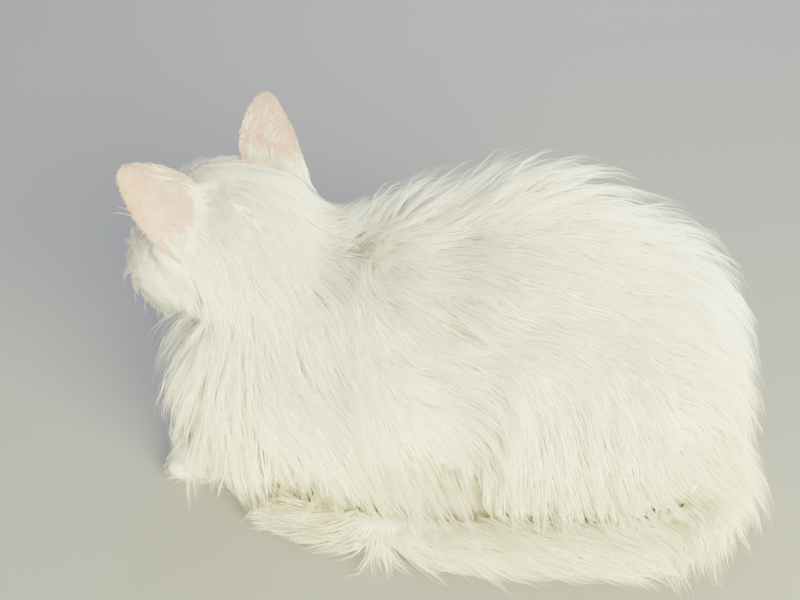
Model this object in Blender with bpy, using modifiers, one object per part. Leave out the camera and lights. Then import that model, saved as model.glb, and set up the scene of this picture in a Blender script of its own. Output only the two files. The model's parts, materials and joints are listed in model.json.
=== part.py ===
# A white long-haired cat, life size, lying with its legs folded under it and its head turned away
# over its right shoulder. Metres, +Z up. The cat faces -X and its left side is towards -Y.
# The origin is on the floor under the middle of its belly.
import math
import random

import bmesh
import bpy
from mathutils import Matrix, Vector
from mathutils.bvhtree import BVHTree

# Driving dimensions
GAP = 0.0003
REACH = 0.6
CORE_SHARE = 0.5
FLOOR = Vector((0, 0, 0))
SHARP_OVER = math.radians(40)
# Each finish: its colour and roughness. What isn't an eye, an ear or the nose wears the coat.
FINISHES = {
    "coat": ((0.90, 0.88, 0.84), 0.8),
    "eye": ((0.55, 0.25, 0.05), 0.1),
    "ear": ((0.86, 0.62, 0.56), 0.6),
    "nose": ((0.86, 0.62, 0.56), 0.6),
}
SKULL = Vector((-0.1416, 0.0007, 0.1683))
HEAD_TURN = math.radians(31)
HEAD_DOWN = math.radians(17)
HEAD_LEAN = math.radians(2)
EYE_AT = Vector((0.0330, 0.0200, 0.0000))
EYE_RADIUS = 0.0105
EYE_LOOKS = Vector((0.86, 0.50, 0.06))
LID_AHEAD = 0.0048
LID_RING = 0.0098
LID_THICK = 0.0018
LID_SHAPE = Matrix.Diagonal((1.0, 0.86, 1.25, 1.0))
ORBIT_AHEAD = 0.0125
ORBIT_SIZE = Vector((0.0110, 0.0098, 0.0085))
NOSE_AT = Vector((0.0565, 0.0, -0.0085))
NOSE_SIZE = Vector((0.0042, 0.0062, 0.0042))
NOSTRIL_AT = Vector((0.0036, 0.0027, -0.0006))
NOSTRIL_SIZE = Vector((0.0026, 0.0011, 0.0009))
LIP_LINE = [(0.060, 0.000, -0.0135), (0.060, 0.000, -0.0180), (0.056, 0.006, -0.0215),
            (0.048, 0.012, -0.0225), (0.038, 0.017, -0.0200)]
LIP_GROOVE = 0.0008
EAR_INNER = Vector((-0.0243, 0.0199, 0.0369))
EAR_OUTER = Vector((-0.0305, 0.0542, 0.0078))
EAR_TIP = Vector((-0.0193, 0.0573, 0.0570))
EAR_CUP = 0.0115
EAR_WALL = 0.0018
EAR_ROOT = -0.18
EAR_TOP = 0.97
EAR_NARROWS = 1.55
EAR_ROUNDS = 0.8
EAR_GRID = 9

# Skins: the voxel that grows their forms together, the rounds of smoothing, and the triangles left
HEAD_SKIN = (0.0015, 6, 2600)
BODY_SKIN = (0.004, 10, 3000)
PAW_SKIN = (0.0011, 2, 220)
FACE_ENDS = 0.012
FACE_BLENDS = 0.02
BACK_KEPT = 0.72

# Each form of the body: where its middle is, its half sizes at the skin, and the depth of coat on it
TRUNK = {
    "chest": ((-0.106, 0.000, 0.076), (0.055, 0.060, 0.066), 0.022),
    "bib": ((-0.120, 0.000, 0.046), (0.036, 0.046, 0.040), 0.018),
    "withers": ((-0.058, 0.000, 0.106), (0.050, 0.046, 0.048), 0.022),
    "ribs": ((-0.008, 0.000, 0.095), (0.072, 0.063, 0.082), 0.022),
    "loin": ((0.047, 0.000, 0.101), (0.078, 0.065, 0.091), 0.022),
    "rump": ((0.093, 0.000, 0.086), (0.060, 0.066, 0.078), 0.022),
    "seat": ((0.114, 0.000, 0.056), (0.050, 0.056, 0.050), 0.020),
    "belly": ((0.000, 0.000, 0.044), (0.112, 0.054, 0.048), 0.010),
}
THIGH = ((0.078, 0.050, 0.070), (0.060, 0.030, 0.052), 0.014)
HAUNCH_FOOT = ((0.120, 0.046, 0.014), (0.030, 0.053, 0.012), 0.012, 0.011, 0.006)
UPPER_ARM = ((-0.095, 0.044, 0.080), (-0.034, 0.050, 0.040), 0.026, 0.022, 0.012)
FOREARM = ((-0.040, 0.048, 0.020), (-0.138, 0.030, 0.015), 0.015, 0.012, 0.008)
NECK_ROOT = (-0.084, 0.000, 0.108)
NECK_END = Vector((-0.024, 0.0, -0.020))
NECK_RADII = (0.042, 0.034)
NECK_COAT = 0.018
PAWS = {
    "forepaw": (Vector((-0.158, 0.027, 0.011)), math.radians(188)),
    "hindpaw": (Vector((0.010, 0.054, 0.011)), math.radians(178)),
}
PAW_AT = Vector((0.0, 0.0, 0.001))
PAW_SIZE = Vector((0.021, 0.0135, 0.0125))
TOE_AT = Vector((0.0160, 0.0, -0.0030))
TOE_SIZE = Vector((0.0085, 0.0050, 0.0068))
TOE_SPREAD = (-0.0095, -0.0033, 0.0033, 0.0095)
TOE_SET_BACK = 0.35
PAW_ROOM = 0.0005

# The head's forms, in its own frame: forward, left and up from the middle of the skull
SKULL_FORMS = {
    "cranium": ((-0.012, 0.000, 0.003), (0.040, 0.035, 0.031), 0.006),
    "forehead": ((0.014, 0.000, 0.005), (0.026, 0.028, 0.023), 0.004),
    "bridge": ((0.040, 0.000, -0.002), (0.013, 0.0080, 0.009), 0.002),
    "muzzle": ((0.041, 0.000, -0.014), (0.014, 0.016, 0.011), 0.002),
    "chin": ((0.044, 0.000, -0.0240), (0.0090, 0.0090, 0.0065), 0.002),
    "jaw": ((0.014, 0.000, -0.020), (0.030, 0.024, 0.015), 0.008),
    "nape": ((-0.036, 0.000, -0.012), (0.024, 0.031, 0.030), 0.014),
}
SKULL_SIDES = {
    "cheek": ((0.008, 0.027, -0.012), (0.028, 0.022, 0.024), 0.008),
    "brow": ((0.018, 0.014, 0.006), (0.021, 0.018, 0.018), 0.004),
    "ear base": ((-0.022, 0.030, 0.006), (0.017, 0.022, 0.021), 0.004),
    "lip": ((0.048, 0.0080, -0.0155), (0.0090, 0.0090, 0.0078), 0.0015),
}

# The tail's way over the floor from its root to its tip, its half thickness at the skin, its coat
TAIL_WAY = [
    ((0.118, 0.004, 0.062), 0.016, 0.014),
    ((0.148, -0.006, 0.044), 0.014, 0.014),
    ((0.162, -0.036, 0.030), 0.012, 0.015),
    ((0.150, -0.070, 0.025), 0.011, 0.016),
    ((0.112, -0.088, 0.024), 0.010, 0.016),
    ((0.060, -0.092, 0.023), 0.010, 0.014),
    ((0.005, -0.091, 0.020), 0.009, 0.012),
    ((-0.045, -0.085, 0.017), 0.008, 0.009),
    ((-0.086, -0.078, 0.013), 0.006, 0.006),
    ((-0.116, -0.070, 0.008), 0.004, 0.002),
]
TAIL_END = 0.012
TAIL_END_RADIUS = 0.0012

# The long coat: for each node the room between the roots of two locks, and a lock's length, width,
# thickness and how far its tip rises over the core
LOCKS = {
    "torso": (0.0270, 0.062, 0.032, 0.0034, 0.016),
    "neck": (0.0200, 0.046, 0.026, 0.0030, 0.012),
    "head": (0.0190, 0.031, 0.020, 0.0024, 0.0050),
    "hindleg": (0.0260, 0.052, 0.029, 0.0030, 0.012),
    "foreleg": (0.0240, 0.040, 0.026, 0.0028, 0.009),
    "tail_base": (0.0210, 0.048, 0.024, 0.0030, 0.012),
    "tail_middle": (0.0200, 0.046, 0.022, 0.0028, 0.011),
    "tail_tip": (0.0170, 0.038, 0.018, 0.0024, 0.006),
}
# A lock's sections from its root: share of its length, width, thickness and rise
LOCK_SECTIONS = [(0.00, 0.36, 1.00, -0.30), (0.30, 1.00, 1.00, 0.24), (0.68, 0.72, 0.65, 0.70)]
# What is tried in turn where a lock meets another: shares of its length and of its rise
LOCK_TRIES = [(1.0, 1.0), (1.0, 1.3), (1.0, 0.75), (0.8, 1.0), (0.8, 1.2), (0.8, 0.7), (0.62, 0.9),
              (0.62, 0.6), (0.8, 0.35), (0.9, 1.8), (0.7, 1.5)]
COAT_ORDER = ["head", "neck", "torso", "hindleg_left", "hindleg_right", "foreleg_left",
              "foreleg_right", "tail_base", "tail_middle", "tail_tip"]
LOCK_TURN = math.radians(13)
LOCK_VARIES = 0.18
LOCK_STEP = 0.1
LOCK_ARCH = 0.35
LOCK_MEETS = 1
LOWEST_ROOT = 0.012
CUT_ROOM = 0.003
UNDERSIDE = -0.75
SCATTERINGS = 2600
EVENED_OVER = 0.008
FLOOR_ROOM = 0.0008
# The shares of a dressed node's triangles that are tried, as the locks' roots leave many slivers
KEPT_TRIES = (0.80, 0.84, 0.87, 0.90, 0.93, 0.96)
HEAD_LOCKS_END = 0.002
# The coat runs away from this point over the head, and downwards. Round the tail it flares out.
LIE_FROM = Vector((-0.165, 0.004, 0.225))
LIE_DOWN = Vector((0.0, 0.0, -0.5))
TAIL_FLARE = {"tail_base": 0.9, "tail_middle": 0.45, "tail_tip": 0.45}

# Where the whole is parted. Each region is what lies beyond all its planes, each given as a point
# on it and the way into the region. Those of the head are in the head's frame.
HEAD_REGION = [
    (Vector((-0.045, 0.0, -0.012)), Vector((0.64, 0.0, 0.77))),
    (Vector((0.0, 0.0, -0.050)), Vector((-0.10, 0.0, 1.0))),
]
NECK_REGION = [(Vector((-0.110, 0.0, 0.122)), Vector((-0.66, 0.0, 0.75)))]
LEG_REGIONS = {
    "foreleg": [
        (Vector((-0.152, 0.0, 0.0)), Vector((1.0, 0.0, 0.0))),
        (Vector((-0.006, 0.0, 0.0)), Vector((-1.0, 0.0, 0.0))),
        (Vector((0.0, 0.030, 0.0)), Vector((0.0, 1.0, 0.0))),
        (Vector((0.0, 0.0, 0.062)), Vector((0.0, 0.0, -1.0))),
    ],
    "hindleg": [
        (Vector((0.008, 0.0, 0.0)), Vector((1.0, 0.0, 0.0))),
        (Vector((0.150, 0.0, 0.0)), Vector((-1.0, 0.0, 0.0))),
        (Vector((0.0, 0.046, 0.0)), Vector((0.0, 1.0, 0.0))),
        (Vector((0.0, 0.0, 0.116)), Vector((0.0, 0.0, -1.0))),
        (Vector((0.014, 0.0, 0.082)), Vector((0.75, 0.0, -0.66))),
    ],
}
TAIL_CUTS = {
    "tail_base": (Vector((0.150, -0.010, 0.042)), Vector((0.60, -0.64, -0.48))),
    "tail_middle": (Vector((0.096, -0.089, 0.025)), Vector((-0.99, -0.14, 0.0))),
    "tail_tip": (Vector((-0.012, -0.090, 0.020)), Vector((-0.99, 0.10, 0.0))),
}


def head_frame():
    """The matrix from the head's frame (forward, left, up) to the model's."""
    ahead = Vector((-math.cos(HEAD_TURN), math.sin(HEAD_TURN), 0))
    side = Vector((-math.sin(HEAD_TURN), -math.cos(HEAD_TURN), 0))
    rise = Vector((0, 0, 1))
    forward = ahead * math.cos(HEAD_DOWN) - rise * math.sin(HEAD_DOWN)
    up = rise * math.cos(HEAD_DOWN) + ahead * math.sin(HEAD_DOWN)
    left = side * math.cos(HEAD_LEAN) - up * math.sin(HEAD_LEAN)
    up = up * math.cos(HEAD_LEAN) + side * math.sin(HEAD_LEAN)
    turn = Matrix((forward, left, up)).transposed().to_4x4()
    return Matrix.Translation(SKULL) @ turn


HEAD = head_frame()
WORLD = Matrix.Identity(4)


def on_side(point, side):
    """The point, or its mirror image across the middle plane."""
    return Vector((point[0], point[1] * side, point[2]))


def link(mesh, name):
    obj = bpy.data.objects.new(name, mesh)
    bpy.context.scene.collection.objects.link(obj)
    return obj


def from_bmesh(bm, name):
    mesh = bpy.data.meshes.new(name)
    bm.to_mesh(mesh)
    bm.free()
    return link(mesh, name)


def baked(obj, name=None):
    """The object with its modifiers turned into plain mesh, in the model's frame."""
    bpy.context.view_layer.update()
    graph = bpy.context.evaluated_depsgraph_get()
    mesh = bpy.data.meshes.new_from_object(obj.evaluated_get(graph))
    mesh.transform(obj.matrix_world)
    name = name or obj.name
    bpy.data.objects.remove(obj)
    return link(mesh, name)


def copy_of(obj, name):
    return link(obj.data.copy(), name)


def combined(obj, other, operation):
    """obj after one Boolean with other, which is then removed."""
    step = obj.modifiers.new("step", "BOOLEAN")
    step.operation = operation
    step.object = other
    made = baked(obj)
    bpy.data.objects.remove(other)
    return made


def largest_body(obj):
    """obj with only its largest closed surface."""
    bm = bmesh.new()
    bm.from_mesh(obj.data)
    bmesh.ops.remove_doubles(bm, verts=bm.verts, dist=1e-6)
    left = set(bm.verts)
    bodies = []
    while left:
        front = [left.pop()]
        body = set(front)
        while front:
            for edge in front.pop().link_edges:
                for vertex in edge.verts:
                    if vertex in left:
                        left.remove(vertex)
                        body.add(vertex)
                        front.append(vertex)
        bodies.append(body)
    keep = max(bodies, key=len)
    bmesh.ops.delete(bm, geom=[v for v in bm.verts if v not in keep], context="VERTS")
    bm.to_mesh(obj.data)
    bm.free()
    return obj


def ball(bm, at, size, frame=WORLD, turn=0.0, fine=3):
    """An ellipsoid of those half sizes, turned about its own upright."""
    place = frame @ Matrix.Translation(at) @ Matrix.Rotation(turn, 4, "Z") @ Matrix.Diagonal((*size, 1))
    bmesh.ops.create_icosphere(bm, subdivisions=fine, radius=1.0, matrix=place)


def capsule(bm, start, end, start_radius, end_radius):
    """A round-ended limb between two points: the hull of a ball at each."""
    limb = bmesh.new()
    for at, radius in ((start, start_radius), (end, end_radius)):
        bmesh.ops.create_icosphere(limb, subdivisions=3, radius=radius, matrix=Matrix.Translation(at))
    hull = bmesh.ops.convex_hull(limb, input=limb.verts)
    inside = {item for item in hull["geom_interior"] if isinstance(item, bmesh.types.BMVert)}
    bmesh.ops.delete(limb, geom=list(inside), context="VERTS")
    mesh = bpy.data.meshes.new("limb")
    limb.to_mesh(mesh)
    limb.free()
    bm.from_mesh(mesh)
    bpy.data.meshes.remove(mesh)


def fused(bm, name, voxel, smoothing, triangles):
    """The forms in bm grown together into one smooth skin of about that many triangles."""
    obj = from_bmesh(bm, name)
    remesh = obj.modifiers.new("fuse", "REMESH")
    remesh.mode = "VOXEL"
    remesh.voxel_size = voxel
    smooth = obj.modifiers.new("smooth", "SMOOTH")
    smooth.factor = 0.5
    smooth.iterations = smoothing
    obj = baked(obj)
    faces = sum(len(face.vertices) - 2 for face in obj.data.polygons)
    return thinned(obj, min(1.0, triangles / faces))


def thinned(obj, kept, weight=None):
    """obj with that share of its triangles, fewest where it is flattest and where weight is most."""
    thin = obj.modifiers.new("thin", "DECIMATE")
    thin.ratio = kept
    thin.use_collapse_triangulate = True
    if weight:
        group = obj.vertex_groups.new(name="thin")
        for vertex in obj.data.vertices:
            group.add([vertex.index], weight(vertex.co), "REPLACE")
        thin.vertex_group = group.name
    return baked(obj)


def behind_face(point):
    """How far a point of the head is behind its face, from 0 on the face to 1."""
    ahead = (HEAD.inverted() @ point).x
    return min(1.0, max(0.0, (FACE_ENDS - ahead) / FACE_BLENDS))


def wedge(planes, grow=0.0, frame=WORLD, side=1):
    """The convex block that lies beyond all those planes, with each plane moved out by grow."""
    bm = bmesh.new()
    bmesh.ops.create_cube(bm, size=2 * REACH)
    for point, way in planes:
        at = frame @ on_side(point, side)
        into = (frame.to_3x3() @ on_side(way, side)).normalized()
        cut = bmesh.ops.bisect_plane(
            bm, geom=bm.verts[:] + bm.edges[:] + bm.faces[:], plane_co=at - into * grow,
            plane_no=into, clear_inner=True)
        rim = [item for item in cut["geom_cut"] if isinstance(item, bmesh.types.BMEdge)]
        bmesh.ops.contextual_create(bm, geom=rim)
    bmesh.ops.recalc_face_normals(bm, faces=bm.faces)
    return from_bmesh(bm, "wedge")


def parted(obj, name, planes, frame=WORLD, side=1):
    """What of obj lies beyond the planes, as a node of that name, and the rest, half a gap from them."""
    piece = combined(copy_of(obj, name), wedge(planes, -GAP / 2, frame, side), "INTERSECT")
    rest = combined(obj, wedge(planes, GAP / 2, frame, side), "DIFFERENCE")
    return largest_body(piece), largest_body(rest)


def grown(obj, by):
    """A copy of obj with its skin moved out by that distance."""
    copy = copy_of(obj, "grown")
    bm = bmesh.new()
    bm.from_mesh(copy.data)
    bm.normal_update()
    for vertex in bm.verts:
        vertex.co += vertex.normal * by * vertex.calc_shell_factor()
    bm.to_mesh(copy.data)
    bm.free()
    return copy


def clear_of(obj, other, by=GAP):
    """obj with what comes nearer to other than that cut away."""
    return largest_body(combined(obj, grown(other, by), "DIFFERENCE"))


def above_floor(obj):
    return largest_body(combined(obj, wedge([(FLOOR, Vector((0, 0, 1)))]), "INTERSECT"))


def grown_form(bm, form, share, frame=WORLD, side=1):
    at, size, coat = form
    ball(bm, on_side(at, side), [half + coat * share for half in size], frame)


def limb_form(bm, form, share, side=1):
    start, end, start_radius, end_radius, coat = form
    more = coat * share
    capsule(bm, on_side(start, side), on_side(end, side), start_radius + more, end_radius + more)


def body_forms(share):
    """The trunk, the neck, the folded legs, the back of the skull and the tail's root."""
    bm = bmesh.new()
    for form in TRUNK.values():
        grown_form(bm, form, share)
    limb_form(bm, (NECK_ROOT, HEAD @ NECK_END, *NECK_RADII, NECK_COAT), share)
    for side in (1, -1):
        grown_form(bm, THIGH, share, side=side)
        for limb in (HAUNCH_FOOT, UPPER_ARM, FOREARM):
            limb_form(bm, limb, share, side)
    for name in ("cranium", "jaw"):
        grown_form(bm, SKULL_FORMS[name], share, HEAD)
    (root, root_radius, coat), (after, after_radius, _) = TAIL_WAY[:2]
    more = coat * share
    capsule(bm, root, after, root_radius + more, after_radius + more)
    return bm


def head_forms(share):
    bm = bmesh.new()
    for form in SKULL_FORMS.values():
        grown_form(bm, form, share, HEAD)
    for form in SKULL_SIDES.values():
        for side in (1, -1):
            grown_form(bm, form, share, HEAD, side)
    return bm


def tube(points, radii, name, sides=12):
    """A closed tube along a smooth curve through the points, its ends closed in a blunt point."""
    curve = bpy.data.curves.new(name, "CURVE")
    curve.dimensions = "3D"
    curve.bevel_depth = 1.0
    curve.bevel_resolution = max(0, sides // 4 - 1)
    curve.use_fill_caps = True
    curve.resolution_u = 3
    spline = curve.splines.new("BEZIER")
    spline.bezier_points.add(len(points) - 1)
    for knot, point, radius in zip(spline.bezier_points, points, radii):
        knot.co = point
        knot.radius = radius
        knot.handle_left_type = knot.handle_right_type = "AUTO"
    obj = bpy.data.objects.new(name, curve)
    bpy.context.scene.collection.objects.link(obj)
    return welded(baked(obj))


def welded(obj):
    bm = bmesh.new()
    bm.from_mesh(obj.data)
    bmesh.ops.remove_doubles(bm, verts=bm.verts, dist=1e-6)
    bmesh.ops.recalc_face_normals(bm, faces=bm.faces)
    bm.to_mesh(obj.data)
    bm.free()
    return obj


def make_tail(share):
    points = [Vector(at) for at, _, _ in TAIL_WAY]
    radii = [radius + coat * share for _, radius, coat in TAIL_WAY]
    tip = points[-1] + (points[-1] - points[-2]).normalized() * TAIL_END
    points.append(Vector((tip.x, tip.y, TAIL_END_RADIUS)))
    radii.append(TAIL_END_RADIUS)
    return tube(points, radii, "tail")


def make_paw(name, kind, side):
    """A short-haired paw with its four toes side by side."""
    at, turn = PAWS[kind]
    frame = Matrix.Translation(on_side(at, side)) @ Matrix.Rotation(turn * side, 4, "Z")
    bm = bmesh.new()
    ball(bm, PAW_AT, PAW_SIZE, frame)
    for spread in TOE_SPREAD:
        toe = TOE_AT + Vector((-abs(spread) * TOE_SET_BACK, spread, 0))
        ball(bm, toe, TOE_SIZE, frame)
    return fused(bm, name, *PAW_SKIN)


def ear_point(along, across):
    """A point of the ear's middle surface: along from its root to its tip, across from -1 to 1."""
    middle = (EAR_INNER + EAR_OUTER) / 2
    half = (EAR_OUTER - EAR_INNER) / 2
    rise = EAR_TIP - middle
    back = half.cross(rise).normalized()
    if back.x > 0:
        back.negate()
    risen = max(0.0, along)
    narrow = (1 - risen ** EAR_NARROWS) ** EAR_ROUNDS
    bow = EAR_CUP * (1 - risen) ** EAR_ROUNDS * (1 - across * across)
    return middle + rise * along + half * across * narrow + back * bow


def make_ear(name, side):
    """A thin cup, bowed backwards, that narrows to its tip and is rooted in the head."""
    bm = bmesh.new()
    grid = []
    for row in range(EAR_GRID):
        along = EAR_ROOT + (EAR_TOP - EAR_ROOT) * row / (EAR_GRID - 1)
        line = []
        for column in range(EAR_GRID):
            across = 2 * column / (EAR_GRID - 1) - 1
            line.append(bm.verts.new(HEAD @ on_side(ear_point(along, across), side)))
        grid.append(line)
    for low, high in zip(grid, grid[1:]):
        for column in range(EAR_GRID - 1):
            bm.faces.new((low[column], low[column + 1], high[column + 1], high[column]))
    bmesh.ops.recalc_face_normals(bm, faces=bm.faces)
    obj = from_bmesh(bm, name)
    wall = obj.modifiers.new("wall", "SOLIDIFY")
    wall.thickness = EAR_WALL
    wall.offset = 0.0
    return welded(baked(obj))


def make_eye(name, side):
    bm = bmesh.new()
    ball(bm, on_side(EYE_AT, side), [EYE_RADIUS] * 3, HEAD)
    return from_bmesh(bm, name)


def eye_frame(side, ahead):
    """The frame of an eye, that far in front of its middle: across, up and the way it looks."""
    looks = on_side(EYE_LOOKS, side).normalized()
    across = Vector((0, 0, 1)).cross(looks).normalized()
    turn = Matrix((across, looks.cross(across), looks)).transposed().to_4x4()
    return HEAD @ Matrix.Translation(on_side(EYE_AT, side) + looks * ahead) @ turn


def lid_ring(side):
    """The rims of both lids, as one ring that hugs the front of the eye."""
    bpy.ops.mesh.primitive_torus_add(
        major_radius=LID_RING, minor_radius=LID_THICK, major_segments=20, minor_segments=8)
    ring = bpy.context.object
    ring.data.transform(eye_frame(side, LID_AHEAD) @ LID_SHAPE)
    return ring


def orbit(side):
    """The cutter that opens the face in front of an eye."""
    bm = bmesh.new()
    ball(bm, (0, 0, 0), ORBIT_SIZE, eye_frame(side, ORBIT_AHEAD))
    return from_bmesh(bm, "orbit")


def mouth_line(head, side):
    """The groove from under the nose down and round along the lips, sunk in the head's surface."""
    tree = BVHTree.FromObject(head, bpy.context.evaluated_depsgraph_get())
    points = [tree.find_nearest(HEAD @ on_side(point, side))[0] for point in LIP_LINE]
    return tube(points, [LIP_GROOVE] * len(points), "groove", sides=8)


def make_nose():
    """The nose pad with its two nostrils."""
    bm = bmesh.new()
    ball(bm, NOSE_AT, NOSE_SIZE, HEAD, fine=2)
    nose = from_bmesh(bm, "nose")
    for side in (1, -1):
        bm = bmesh.new()
        ball(bm, NOSE_AT + on_side(NOSTRIL_AT, side), NOSTRIL_SIZE, HEAD, turn=side * 0.5, fine=1)
        nose = combined(nose, from_bmesh(bm, "nostril"), "DIFFERENCE")
    return nose


def seat(at, size):
    """The cutter for the hollow that a ball of that size sits in."""
    bm = bmesh.new()
    ball(bm, at, [half + GAP for half in size], HEAD)
    return from_bmesh(bm, "seat")


def make_head(share):
    """The head with its lids, sockets, nose seat and the line of its mouth."""
    head = thinned(fused(head_forms(share), "head", *HEAD_SKIN), BACK_KEPT, behind_face)
    head = combined(head, wedge(HEAD_REGION, -GAP / 2, HEAD), "INTERSECT")
    for side in (1, -1):
        head = combined(head, orbit(side), "DIFFERENCE")
        head = combined(head, lid_ring(side), "UNION")
        head = combined(head, seat(on_side(EYE_AT, side), [EYE_RADIUS] * 3), "DIFFERENCE")
        head = combined(head, mouth_line(head, side), "DIFFERENCE")
    head = combined(head, seat(NOSE_AT, NOSE_SIZE), "DIFFERENCE")
    return largest_body(head)


class Ground:
    """The whole core's surface, on which the locks grow and along which they lie."""

    def __init__(self, objects):
        points, faces = [], []
        for obj in objects:
            first = len(points)
            points += [vertex.co.copy() for vertex in obj.data.vertices]
            faces += [[first + index for index in face.vertices] for face in obj.data.polygons]
        self.tree = BVHTree.FromPolygons(points, faces)

    def nearest(self, point):
        """The surface's point nearest to one, and its outward way there evened over its facets."""
        at, normal, _, _ = self.tree.find_nearest(point)
        across = normal.orthogonal().normalized() * EVENED_OVER
        along = normal.cross(across)
        way = normal.copy()
        for step in (across, -across, along, -along):
            way += self.tree.find_nearest(at + step)[1]
        return at, way.normalized()


def lock_sizes(name):
    """The sizes of a node's locks. Both legs of a pair share theirs."""
    return LOCKS[name] if name in LOCKS else LOCKS[name.split("_")[0]]


def lie_at(name, point):
    """The way the coat runs at a point: away from the nose, down, and along the tail."""
    if name == "head":
        return point - HEAD @ NOSE_AT
    if name.startswith("tail"):
        places = [Vector(at) for at, _, _ in TAIL_WAY]
        near = min(range(len(places) - 1), key=lambda index: (places[index] - point).length)
        flare = point - places[near]
        flare.z = 0.0
        along = (places[near + 1] - places[near]).normalized()
        return along + flare.normalized() * TAIL_FLARE[name]
    return (point - LIE_FROM).normalized() + LIE_DOWN


def lock_rings(ground, name, root, turn, sizes):
    """The rings of a lock's skin, from its root to the last before its tip, and the tip."""
    length, width, thick, rise = sizes
    at, out = ground.nearest(root)
    rings = []
    done = 0.0
    stations = LOCK_SECTIONS + [(1.0, 0.0, 0.0, 1.0)]
    for share, wide, deep, high in stations:
        while done < share - 1e-6:
            step = min(LOCK_STEP, share - done)
            way = lie_at(name, at)
            way = (way - out * way.dot(out)).normalized()
            way = Matrix.Rotation(turn, 3, out) @ way
            at, out = ground.nearest(at + way * step * length)
            done += step
        way = lie_at(name, at)
        way = (way - out * way.dot(out)).normalized()
        side = out.cross(way).normalized()
        middle = at + out * (rise * high)
        low = FLOOR_ROOM + thick * deep / 2
        if share > 0 and middle.z < low:
            middle.z = low
        if wide == 0.0:
            return rings, middle
        half = side * width * wide / 2
        dip = out * (thick * LOCK_ARCH * wide)
        deep = out * thick * deep / 2
        rings.append([middle + half - dip, middle + deep, middle - half - dip, middle - deep])


def lock_mesh(rings, tip, spare=0.0):
    """A closed tapered lock. With spare it's that much larger all round, to test its room."""
    bm = bmesh.new()
    loops = []
    for ring in rings:
        middle = sum(ring, Vector()) / 4
        loops.append([bm.verts.new(point + (point - middle).normalized() * spare) for point in ring])
    for low, high in zip(loops, loops[1:]):
        for index in range(4):
            after = (index + 1) % 4
            bm.faces.new((low[index], low[after], high[after], high[index]))
    bm.faces.new(loops[0][::-1])
    last = sum(rings[-1], Vector()) / 4
    point = bm.verts.new(tip + (tip - last).normalized() * spare)
    for index in range(4):
        bm.faces.new((loops[-1][index], loops[-1][(index + 1) % 4], point))
    bmesh.ops.triangulate(bm, faces=bm.faces)
    bmesh.ops.recalc_face_normals(bm, faces=bm.faces)
    return bm


def crossings(rings, tip, others):
    """How many of the other surfaces a lock comes too near to, or None where it meets the floor."""
    if min(point.z for ring in rings[1:] for point in (*ring, tip)) < FLOOR_ROOM / 2:
        return None
    bm = lock_mesh(rings, tip, 2 * GAP)
    tree = BVHTree.FromBMesh(bm)
    bm.free()
    return sum(bool(tree.overlap(other)) for other in others)


def crosses_itself(bm):
    """Whether faces that share no corner meet."""
    corners = [set(face.verts) for face in bm.faces]
    tree = BVHTree.FromBMesh(bm)
    return any(not corners[one] & corners[other] for one, other in tree.overlap(tree))


def scattered(core, apart, rng, others):
    """Places on a node's outer skin at least that far apart, clear of its cuts and of the floor."""
    faces = [face for face in core.data.polygons if face.normal.z > UNDERSIDE]
    weights = [face.area for face in faces]
    points = core.data.vertices
    places = []
    for _ in range(SCATTERINGS):
        face = rng.choices(faces, weights)[0]
        a, b, c = (points[index].co for index in face.vertices[:3])
        u, v = rng.random(), rng.random()
        if u + v > 1:
            u, v = 1 - u, 1 - v
        at = a + (b - a) * u + (c - a) * v
        if at.z < LOWEST_ROOT or any((at - place).length < apart for place in places):
            continue
        if any(tree.find_nearest(at, CUT_ROOM)[0] for tree in others):
            continue
        places.append(at)
    return places


def tree_of(obj):
    bm = bmesh.new()
    bm.from_mesh(obj.data)
    tree = BVHTree.FromBMesh(bm)
    bm.free()
    return tree


def best_lock(name, root, ground, rng, others, own):
    """The lock on that root that keeps clear of the other nodes and meets fewest of its own, if any."""
    _, length, width, thick, rise = lock_sizes(name)
    turn = rng.uniform(-LOCK_TURN, LOCK_TURN)
    longer, wider, higher = (rng.uniform(1 - LOCK_VARIES, 1 + LOCK_VARIES) for _ in range(3))
    best = None
    fewest = LOCK_MEETS + 1
    for stretch, lift in LOCK_TRIES:
        sizes = (length * longer * stretch, width * wider, thick, rise * higher * lift)
        rings, tip = lock_rings(ground, name, root, turn, sizes)
        lock = lock_mesh(rings, tip)
        if crossings(rings, tip, others) != 0 or crosses_itself(lock):
            continue
        met = crossings(rings, tip, own)
        if met < fewest:
            fewest = met
            best = lock
        if met == 0:
            break
    return best


def dress(nodes, name, ground, seed):
    """A node's core with its locks fused to it, as one closed body."""
    apart = lock_sizes(name)[0]
    rng = random.Random(seed)
    core = nodes[name]
    others = [tree_of(obj) for other, obj in nodes.items() if other != name]
    own = []
    locks = bpy.data.collections.new("locks")
    bpy.context.scene.collection.children.link(locks)
    for root in scattered(core, apart, rng, others):
        if name == "head" and (HEAD.inverted() @ root).x > HEAD_LOCKS_END:
            continue
        lock = best_lock(name, root, ground, rng, others, own)
        if lock is None:
            continue
        own.append(BVHTree.FromBMesh(lock))
        mesh = bpy.data.meshes.new("lock")
        lock.to_mesh(mesh)
        lock.free()
        locks.objects.link(bpy.data.objects.new("lock", mesh))
    union = core.modifiers.new("coat", "BOOLEAN")
    union.operation = "UNION"
    union.operand_type = "COLLECTION"
    union.collection = locks
    # Where locks cross each other, the EXACT solver leaves open edges.
    union.solver = "MANIFOLD"
    dressed = baked(core)
    for lock in list(locks.objects):
        bpy.data.objects.remove(lock)
    bpy.data.collections.remove(locks)
    return simplest(dressed, others)


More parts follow.
